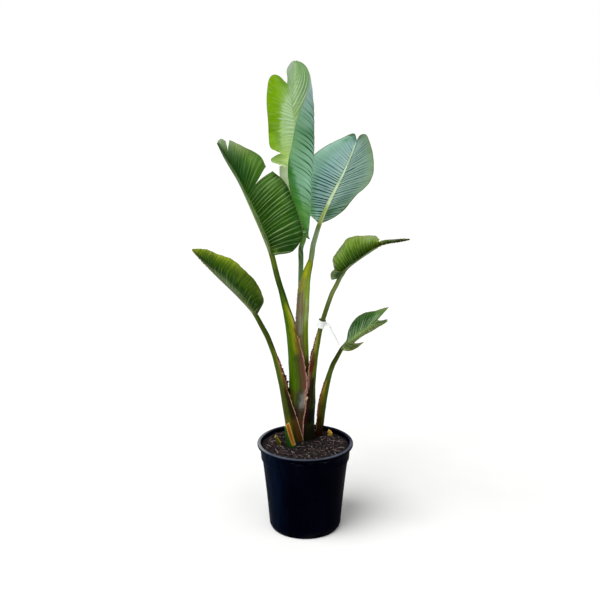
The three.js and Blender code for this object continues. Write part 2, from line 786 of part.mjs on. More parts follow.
function stubGeometry({ foot, half, lean, top, peak, fall }, extra = 0) {
  const flat = [];
  for (let k = 0; k < STUB_SIDES; k++) {
    const angle = 2 * Math.PI * k / STUB_SIDES;
    flat.push(new THREE.Vector2(Math.cos(angle), Math.sin(angle)));
  }
  const bottom = SOIL_TOP - STUB_DEPTH;
  const ring = (share) => flat.map((corner) => {
    const right = half[0] * corner.x - peak;
    const front = half[1] * (1 - corner.y);
    const drop = Math.max(fall[0] * right + fall[1] * front, -fall[2] * right + fall[3] * front);
    const cut = Math.max(SOIL_TOP + STUB_LOWEST_CUT, top - drop);
    const z = lerp(bottom - extra, cut, share);
    const rise = (z - bottom) / (top - bottom);
    const size = lerp(1, STUB_TAPER, rise);
    const x = foot[0] + lean[0] * rise + corner.x * (half[0] * size + extra);
    const y = foot[1] + lean[1] * rise + corner.y * (half[1] * size + extra);
    return new THREE.Vector3(x, y, z);
  });
  return loftRings([ring(0), ring(0.5), ring(1)], flat);
}

// Label

// Band square to the stalk, with a tail that starts on its right side as a thin strip
function labelGeometry(leafE) {
  const route = leafE.route.curve;
  let t = 0;
  while (route.getPoint(t).z < LABEL_HEIGHT) t += 0.0005;
  const centre = route.getPoint(t);
  const axis = route.getTangent(t);
  const turn = new THREE.Quaternion().setFromUnitVectors(new THREE.Vector3(0, 0, 1), axis);
  const outer = LABEL_RADIUS + LABEL_THICKNESS;
  const corners = [[LABEL_RADIUS, -1], [outer, -1], [outer, 1], [LABEL_RADIUS, 1], [LABEL_RADIUS, -1]];
  const ring = corners.map(([radius, side]) => new THREE.Vector2(radius, side * LABEL_BAND / 2));
  const band = new THREE.LatheGeometry(ring, LABEL_SIDES);
  band.rotateX(Math.PI / 2);
  band.applyQuaternion(turn);
  band.translate(centre.x + LABEL_SHIFT, centre.y, centre.z);
  const start = [centre.x + LABEL_SHIFT + LABEL_RADIUS, centre.y, centre.z];
  const curve = curveThrough([start, ...LABEL_TAIL]);
  const points = [];
  const faces = [];
  for (let step = 0; step <= LABEL_TAIL_STEPS; step++) {
    const share = step / LABEL_TAIL_STEPS;
    const point = curve.getPointAt(share);
    const along = curve.getTangentAt(share);
    const across = new THREE.Vector3(-along.z, 0, along.x).normalize();
    const width = lerp(LABEL_TAIL_WIDTH[0], LABEL_TAIL_WIDTH[1], Math.sqrt(share));
    points.push(point.clone().addScaledVector(across, width / 2));
    points.push(point.clone().addScaledVector(across, -width / 2));
    if (step > 0) {
      const here = 2 * step;
      faces.push([here - 2, here - 1, here + 1], [here - 2, here + 1, here]);
    }
  }
  return toGeometry(toSolid(band).add(toSolid(thicken(points, faces, LABEL_THICKNESS))));
}

// Assembly

const plant = new THREE.Group();

function addPiece(name, geometry, colour, roughness) {
  const material = new THREE.MeshStandardMaterial({ color: colour, roughness, metalness: 0 });
  const mesh = new THREE.Mesh(geometry, material);
  mesh.name = name;
  plant.add(mesh);
}

addPiece('pot', potGeometry(), 0x14181c, 0.45);

let soil = soilBody();
for (const leaf of Object.values(LEAVES)) {
  leaf.route = leafRoute(leaf);
  soil = soil.subtract(footHole(leaf));
}
for (const stub of Object.values(STUBS)) soil = soil.subtract(toSolid(stubGeometry(stub, GAP)));
addPiece('soil', toGeometry(largestBody(soil)), 0x33261d, 0.95);

for (const [name, leaf] of Object.entries(LEAVES)) {
  let stalk = toSolid(stalkGeometry(leaf, leaf.route));
  for (const inner of CLASPS[name] ?? []) {
    stalk = stalk.subtract(toSolid(stalkGeometry(LEAVES[inner], LEAVES[inner].route, GAP)));
  }
  stalk = stalk.subtract(toSolid(bladeGeometry(leaf, leaf.route, GAP)));
  addPiece(`${name}_stalk`, toGeometry(largestBody(stalk)), leaf.colour.stalk, 0.5);
  addPiece(`${name}_blade`, bladeGeometry(leaf, leaf.route), leaf.colour.blade, 0.4);
}
for (const [name, stub] of Object.entries(STUBS)) addPiece(name, stubGeometry(stub), 0x8f9a35, 0.6);
addPiece('label_strap', labelGeometry(LEAVES.leaf_e), 0xf2f2ee, 0.5);

export default plant;
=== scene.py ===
# Looks of the potted giant white bird of paradise: six leaves with ribbed and torn blades, three
# cut stubs and a blank label stand in a black nursery pot that is filled with potting mix.
# Metres, +Z up. The origin is the centre of the pot's flat underside, +X is to the right and +Y
# to the back of the plant. The leaves and stalks repeat the shaping points of the solids that
# they replace, in millimetres, and follow them with finer rows, ribs and colours.

import math

import bpy
import numpy as np
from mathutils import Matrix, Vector, kdtree, noise


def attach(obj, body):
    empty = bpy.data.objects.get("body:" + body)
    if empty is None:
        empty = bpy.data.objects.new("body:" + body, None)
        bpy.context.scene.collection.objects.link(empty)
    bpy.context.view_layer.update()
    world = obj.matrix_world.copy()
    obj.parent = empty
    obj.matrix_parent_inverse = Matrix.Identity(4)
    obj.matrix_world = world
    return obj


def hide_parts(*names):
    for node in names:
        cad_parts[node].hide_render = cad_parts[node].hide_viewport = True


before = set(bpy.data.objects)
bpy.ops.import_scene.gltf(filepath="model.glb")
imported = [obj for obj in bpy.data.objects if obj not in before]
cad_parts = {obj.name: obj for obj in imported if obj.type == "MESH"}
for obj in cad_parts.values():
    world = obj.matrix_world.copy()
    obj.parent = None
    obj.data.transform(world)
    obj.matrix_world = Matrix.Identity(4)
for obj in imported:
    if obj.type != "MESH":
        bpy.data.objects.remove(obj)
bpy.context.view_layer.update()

MM = 0.001

# Camera and stage. Each lamp has the way to it, its strength and its softness in degrees.
CAMERA_PLACE = (-0.0163, -2.6, 1.341)
CAMERA_TILT = math.radians(76.85)
CAMERA_LENS = 53.1
SENSOR_WIDTH = 36
FLOOR_SIZE = 400
LAMPS = {"key_light": ((-0.5, -0.45, 1.0), 2.9, 50), "fill_light": ((0.8, -0.8, 0.8), 0.6, 60)}
BACKDROP_LIGHT = 1
SKY_LIGHT = 0.32
WHITE = (1, 1, 1, 1)

# Angle from which an edge is sharp
SHARP_ANGLE = math.radians(50)

# Curves: marks at which their length is measured, and how far apart two points give the way
ROUTE_MARKS = 601
WAY_STEP = 0.002

# Blades: thickness, height of the ribs times the number of ribs, radians that the edge's wave and
# the ripple on it run through along the midrib, the ripple's share of the wave, rows for each rib,
# and columns of a half, which lie closer towards the edge where their spacing is below 1
BLADE_THICKNESS = 0.9 * MM
RIB_RELIEF = 26 * MM
EDGE_WAVE_RADIANS = 21
EDGE_RIPPLE_RADIANS = 67
EDGE_RIPPLE = 0.25
ROWS_PER_RIB = 8
COLUMNS = 18
COLUMN_SPACING = 0.92
# Shares of the midrib in which ribs and waves grow at the blade's ends, and from which the bulge
# fades, share of a lobe in which the sides of a tear come together, and steps in which the root
# of a climbing rib is found
END_FADE = 0.12
BULGE_FADE_START = 0.4
TEAR_FADE = 0.125
ROOT_HALVINGS = 18
# Ribs: waves that make their spacing uneven, as height in ribs, radians along the midrib and
# start, and the swell between two crests, the crest's width, and how far the whole is lowered
RIB_UNEVENNESS = [(0.2, 23, 1), (0.16, 41, 2.5), (0.1, 97, 0)]
RIB_SWELL = 0.55
RIB_CREST = 0.3
RIB_SINK = 0.3

# Stalks: points round the outside and in the channel, rounding of the lips, rings from one
# station to the next, rings along the midrib, the share of its width at the tip, the power of its
# taper, the half angle of the groove on it, and the gap under the solid's blade
OUTER_POINTS = 29
INNER_POINTS = 13
LIP_ROUNDING = 1.6 * MM
RINGS_PER_STATION = 9
MIDRIB_RINGS = 46
MIDRIB_TIP = 0.15
MIDRIB_TAPER = 0.8
MIDRIB_GROOVE = 30
CAD_BLADE_THICKNESS = 1.2 * MM
GAP = 0.35 * MM
# Colours of the stalks: how much they are brightened, softness and wander of the ends of their
# bands in mm, and softness and fray of the bands' sides as a share of the way round
STALK_LIFT = 1.15
BAND_SOFT = 12
BAND_WANDER = 12
BAND_BLUR = 0.06
BAND_FRAY = 0.08
# Dry sheath edges: steps along them, points across, thickness, how far they reach into the lip,
# and the height in mm over which they end
SHEATH_EDGE_STEPS = 160
SHEATH_EDGE_COLUMNS = 4
SHEATH_EDGE_THICKNESS = 0.6 * MM
SHEATH_EDGE_ROOT = 0.6 * MM
SHEATH_EDGE_END = 25

# Pot: sides, drain slots with their width, lowest and highest height and the radii that they are
# cut between, and the heights from which a painted highlight grows to the top of the rim
POT_SIDES = 144
DRAIN_SLOTS = 8
DRAIN_SLOT_WIDTH = 15 * MM
DRAIN_SLOT_HEIGHTS = (6 * MM, 17 * MM)
DRAIN_SLOT_RADII = (101 * MM, 125 * MM)
RIM_HIGHLIGHT = (276 * MM, 279.8 * MM)

# Potting mix: top, its fall to the rim, lumps and mound, its side from the pot's floor up as radius
# and height in mm, the sides and rings of its mesh, its crumbs as height in mm, fineness and level
# in the noise, the lines each way of the grid that bits lie on, how far that stays from the edge
# and stands over the top, the mossy patch, and the painted shade round the clump's foot
RIM_RADIUS = 150 * MM
SOIL_TOP = 270 * MM
SOIL_EDGE_DROP = 4 * MM
SOIL_LUMP = 3.2 * MM
SOIL_MOUND_PLACE = (-25 * MM, 15 * MM)
SOIL_MOUND_REACH = 60 * MM
SOIL_MOUND_HEIGHT = 6 * MM
SOIL_RADIUS = 137 * MM
SOIL_SIDE = [(99, 3.4), (109.3, 18), (130.4, 222), (134.6, 234)]
SOIL_SIDES = 160
SOIL_RINGS = 70
SOIL_CRUMBS = [(1.6, 130, 0), (0.9, 330, 0.3)]
SOIL_PATCH_LINES = 28
SOIL_PATCH_EDGE = 5 * MM
SOIL_PATCH_LIFT = 0.5 * MM
MOSS_PLACE = (0.018, -0.062, 0.272)
MOSS_REACH = 0.05
CLUMP_SHADE_PLACE = (-0.005, -0.01, 0.272)
CLUMP_SHADE_REACH = 0.055


def paint(code):
    """Linear colour of a code such as #5a8f1e"""
    parts = [int(code[k:k + 2], 16) / 255 for k in (1, 3, 5)]
    return tuple(p / 12.92 if p <= 0.04045 else ((p + 0.055) / 1.055) ** 2.4 for p in parts)


# Each leaf has
#   opens     the way that the channel of its stalk faces
#   stalk     stations from the foot in the soil to the foot of the blade: centre x, y, z, half
#             width, half depth, half angle of the channel's gap in degrees, wall at the back
#   midrib    points from the foot of the blade to its tip, after the last station
#   ribs      lateral ribs from the foot to the tip
#   left and right, seen on the upper face with the tip up: the lobes of that half between its
#             tears, each with the share of the midrib where it ends, its edge from foot to tip
#             and how far out the tear that follows it stops; bulge is how far the middle of the
#             half stands off the straight line to its edge, fade the share of the bulge that is
#             gone at the tip, lead below 1 slants the ribs towards the tip, and wave is how far
#             the edge waves
LEAVES = {
    "leaf_a": {
        "opens": (1, 0, 0),
        "stalk": [
            (-9, 35, 246, 50, 30, 80, 6), (-17, 35, 290, 45, 29, 80, 6),
            (-27, 34, 330, 37, 27, 80, 7), (-47, 31, 400, 27, 23, 80, 9),
            (-61, 23, 450, 20, 17, 75, 9), (-80, 9, 510, 11.5, 11, 55, 11),
            (-94, -1, 560, 8.3, 9, 30, 12), (-118, -14, 631, 7.8, 8.5, 30, 12),
            (-145, -28, 695, 7, 7, 30, 11),
        ],
        "midrib": [(-191, -48, 755), (-252, -72, 820), (-294, -90, 867), (-325, -104, 904)],
        "ribs": 25,
        "left": {"bulge": (0, 0, -5), "lead": 0.9, "wave": 0.8, "lobes": [{"to": 1, "edge": [
            (-152, -44, 704), (-195, -116, 778), (-248, -150, 837), (-289, -140, 876),
            (-322, -110, 902)]}]},
        "right": {"bulge": (-8, -22, 4), "lead": 0.85, "wave": 2.5, "lobes": [{"to": 1, "edge": [
            (-139, -20, 704), (-125, 8, 732), (-144, 20, 772), (-194, 16, 835),
            (-256, -20, 878), (-305, -75, 903), (-324, -100, 907)]}]},
    },
    "leaf_b": {
        "opens": (1, 0, 0),
        "stalk": [
            (-13, 35, 246, 35, 22, 80, 5), (-15, 35, 330, 38, 22, 80, 5),
            (-7, 36, 400, 46, 22, 80, 6), (-5, 36, 455, 46, 21, 80, 7),
            (-12, 35, 530, 41, 20, 80, 8), (-24, 32, 590, 32, 18, 80, 10),
            (-36, 26, 640, 25, 15, 75, 12), (-56, 14, 700, 13, 11.5, 45, 14),
            (-74, 2, 770, 8.3, 9, 30, 13), (-95, -14, 871, 8.3, 8, 30, 13),
        ],
        "midrib": [(-113, -26, 921), (-150, -48, 1010), (-189, -68, 1096), (-229, -84, 1166),
                   (-247, -92, 1206)],
        "ribs": 38,
        "left": {"bulge": (-2, 0, -3), "lead": 0.8, "wave": 0.6, "lobes": [{"to": 1, "edge": [
            (-98, -22, 877), (-113, -100, 948), (-145, -155, 1034), (-184, -168, 1114),
            (-223, -145, 1174), (-248, -98, 1204)]}]},
        "right": {"bulge": (0, -16, 6), "lead": 0.6, "wave": 3, "lobes": [
            {"to": 0.53, "tear": 0.32, "edge": [
                (-82, -14, 880), (-67, -16, 878), (-53, -18, 880), (-37, -21, 887),
                (-8, -40, 935), (-19, -50, 989),
                (-39, -56, 1048), (-58, -60, 1093), (-96, -66, 1126)]},
            {"to": 0.81, "tear": 0.5, "edge": [
                (-114, -68, 1138), (-126, -74, 1166), (-149, -78, 1183), (-196, -86, 1205),
                (-216, -88, 1213)]},
            {"to": 1, "edge": [(-223, -90, 1211), (-235, -92, 1218), (-245, -93, 1212)]}]},
    },
    "leaf_c": {
        "opens": (1, 0, 0),
        "stalk": [
            (-14, 38, 246, 8, 8, 30, 12), (-14, 38, 450, 8, 8, 30, 12),
            (-14, 38, 650, 8, 8, 30, 12), (-14, 39, 780, 8, 8, 30, 12),
            (-13, 40, 843, 8, 8, 30, 12), (-14, 39, 885, 8, 7.5, 30, 12),
            (-10, 37, 923, 7.5, 7, 30, 11),
        ],
        "midrib": [(-5, 36, 1001), (-12, 36, 1120), (-28, 34, 1245), (-39, 26, 1328),
                   (-35, 14, 1400), (-30, 10, 1430)],
        "ribs": 36,
        "left": {"bulge": (0, 14, 0), "lead": 1.4, "wave": 2.5, "lobes": [
            {"to": 0.36, "tear": 0.85, "edge": [
                (-14, 36, 926), (-38, 40, 965), (-64, 44, 1030), (-76, 44, 1084),
                (-78, 42, 1131)]},
            {"to": 0.43, "tear": 0.85, "edge": [
                (-80, 42, 1137), (-99, 40, 1143), (-102, 38, 1151), (-80, 41, 1166)]},
            {"to": 0.8, "tear": 0.85, "edge": [
                (-80, 40, 1176), (-102, 36, 1184), (-110, 28, 1251), (-111, 22, 1340),
                (-102, 20, 1384), (-90, 20, 1393), (-75, 20, 1389), (-58, 20, 1371)]},
            {"to": 1, "edge": [
                (-54, 20, 1377), (-54, 16, 1403), (-42, 12, 1426), (-33, 10, 1432)]}]},
        "right": {"bulge": (50, -4, 0), "fade": 0.65, "lead": 0.68, "wave": 2, "lobes": [
            {"to": 1, "edge": [(14, 12, 916), (-3, -14, 952), (-27, -38, 1011), (-47, -54, 1085),
            (-50, -56, 1150), (-42, -52, 1189), (-22, -40, 1276), (-2, -24, 1331),
            (11, -8, 1378), (7, 2, 1405), (-8, 8, 1424), (-26, 10, 1432)]}]},
    },
    "leaf_d": {
        "opens": (-1, 0, 0),
        "stalk": [
            (-19, 38, 246, 32, 14, 80, 12), (-20.5, 38, 500, 32.5, 14, 80, 12),
            (-23.5, 38, 640, 32.5, 14, 80, 12), (-20.5, 38, 700, 32.5, 14, 80, 12),
            (-15, 40, 765, 30, 14, 80, 12), (-4, 44, 800, 22, 13, 75, 12),
            (16, 52, 845, 8.5, 9.5, 35, 12), (25, 62, 897, 7.5, 8, 30, 12),
            (43, 74, 953, 6.5, 7, 30, 11),
        ],
        "midrib": [(66, 86, 1007), (90, 98, 1054), (127, 112, 1129), (155, 124, 1200)],
        "ribs": 34,
        "left": {"bulge": (0, 8, 0), "lead": 0.72, "wave": 3, "lobes": [{"to": 1, "edge": [
            (52, 76, 957), (84, 78, 971), (117, 80, 996), (154, 88, 1037),
            (193, 98, 1076), (208, 106, 1111), (199, 120, 1185), (184, 128, 1219),
            (166, 130, 1218), (158, 126, 1205)]}]},
        "right": {"bulge": (0, 8, 0), "lead": 1.1, "wave": 3, "lobes": [{"to": 1, "edge": [
            (35, 75, 961), (2, 76, 996), (-7, 82, 1056), (2, 92, 1127), (38, 104, 1171),
            (105, 120, 1206), (148, 132, 1222), (155, 126, 1207)]}]},
    },
    "leaf_e": {
        "opens": (-1, 0, 0),
        "stalk": [
            (-1, 36, 246, 35, 21, 80, 7), (-2, 35, 330, 31.5, 20, 80, 7),
            (4, 33, 400, 29, 18.5, 80, 8), (12, 30, 455, 20, 15, 75, 9),
            (21, 24, 530, 17, 12, 70, 10), (33, 17, 575, 9.5, 10, 45, 12),
            (45, 6, 640, 7.5, 8, 30, 11), (64, -10, 711, 7, 7.5, 30, 11),
            (81, -21, 764, 6.7, 7, 30, 10), (95, -28, 805, 6.5, 6.5, 30, 10),
        ],
        "midrib": [(121, -40, 843), (151, -52, 869), (183, -64, 892), (209, -74, 910),
                   (231, -82, 922), (259, -92, 928), (297, -105, 935)],
        "ribs": 30,
        "left": {"bulge": (-8, -26, 10), "lead": 0.9, "wave": 2.5, "lobes": [
            {"to": 0.66, "tear": 0.2, "edge": [
                (91, -20, 811), (86, -10, 832), (84, 4, 861), (102, 16, 892), (124, 14, 917),
                (164, -4, 929), (201, -30, 936), (216, -60, 925)]},
            {"to": 1, "edge": [(224, -76, 921), (232, -79, 926), (258, -90, 929),
                               (296, -104, 937)]}]},
        "right": {"bulge": (0, 0, -3), "lead": 0.9, "wave": 0.8, "lobes": [
            {"to": 0.1, "tear": 0.2, "edge": [
                (87, -36, 806), (77, -46, 806), (74, -50, 826), (84, -52, 838)]},
            {"to": 0.66, "tear": 0.2, "edge": [
                (112, -62, 836), (130, -105, 862), (159, -126, 888), (190, -120, 908),
                (222, -90, 920)]},
            {"to": 1, "edge": [(229, -86, 920), (259, -96, 926), (295, -108, 934)]}]},
    },
    "leaf_f": {
        "opens": (-1, 0, 0),
        "stalk": [
            (32, 76, 246, 21, 14, 80, 7), (40.5, 70, 309, 19.5, 13, 80, 7),
            (47, 64, 372, 20, 12, 75, 8), (66, 56, 449, 12, 10, 60, 9),
            (78, 50, 490, 8, 8.5, 35, 10), (90, 44, 525, 7.4, 7.5, 30, 10),
            (111, 36, 572, 6.2, 6.2, 30, 9),
        ],
        "midrib": [(138, 26, 599), (173, 12, 630), (205, -2, 658), (228, -12, 667),
                   (247, -20, 675)],
        "ribs": 24,
        "left": {"bulge": (0, -8, 4), "lead": 0.8, "wave": 1.2, "lobes": [
            {"to": 0.74, "tear": 0.08, "edge": [
                (117, 42, 582), (134, 39, 606), (135, 45, 630), (152, 48, 661),
                (184, 42, 683), (219, 28, 695), (254, 14, 708)]},
            {"to": 1, "edge": [(222, -4, 671), (236, -12, 673), (246, -17, 678)]}]},
        "right": {"bulge": (0, -4, -6), "lead": 0.85, "wave": 0.6, "lobes": [
            {"to": 0.2, "tear": 0.12, "edge": [
                (112, 27, 570), (121, 19, 569), (137, 6, 572), (158, -8, 586),
                (179, -20, 609)]},
            {"to": 1, "edge": [
                (150, -2, 603), (174, -28, 632), (205, -44, 653), (229, -36, 666),
                (246, -24, 673)]}]},
    },
}


# Finish of each leaf
#   across            colours of each half of each face from the midrib to the margin: distance out
#                     and colour
#   zones             patches of colour on each half of each face: share along the midrib, distance
#                     out, reach along, reach out, colour, strength
#   borders           colour from a ragged line out to the margin: half, face, the line as shares
#                     and distances out, raggedness, softness, colour, strength
#   lift              how much brighter the colours are laid on, to make up for the dark veins and the painted shade between the ribs
#   rib, under_rib    colours of the ribs on the two faces
#   rib_line          where across a rib's wave its line begins and is full
#   rib_reach         how far out the ribs show
#   rib_strength, under_strength   how strongly they show on the two faces
#   fine_strength     how strongly the fine veins between the ribs show
#   valley, shade     colour that darkens the fine veins and some strips, and laid as painted shade
#                     in the grooves between the ribs, and how strongly that painted shade lies
#   blotch            colour that darkens in broad patches
#   rim, rim_strength dry line along the margin
#   through, glow     share and colour of the light that shines through
#   shine             gloss
#   faint             patches where the ribs fade: half, share along the midrib, distance out,
#                     reach along, reach out, strength
#   slant             halves whose ribs climb outwards: shares of the midrib and climbs
#   finer             how many times as many ribs the left half has as the right one
#   stalk, bands      the stalk's colour, and bands of colour laid over its outside, the inside of
#                     its channel or both: lowest and highest height in mm, from and to round it
#                     (0 at the back, 1 at the lips), colour, strength
#   streak            how strongly the stalk is streaked
#   ragged            dry sheath edges: lowest and highest height, width in mm, colour by the
#                     sheath, colour of the edge, seed
COMMON = {
    "lift": 1.35, "rib_line": (0.86, 0.99), "rib_reach": 1.15, "rib_strength": 0.6,
    "under_strength": 0.6, "fine_strength": 0.2, "under_rib": "#46664a",
    "valley": (0.5, 0.66, 0.3), "shade": 0.55, "blotch": (0.75, 0.8, 0.6),
    "rim": "#7a6a30", "rim_strength": 0.45, "through": 0.1, "glow": "#a8d030", "shine": 0.06,
    "faint": [], "borders": [], "slant": {}, "finer": 1, "streak": 0.55, "ragged": [],
}
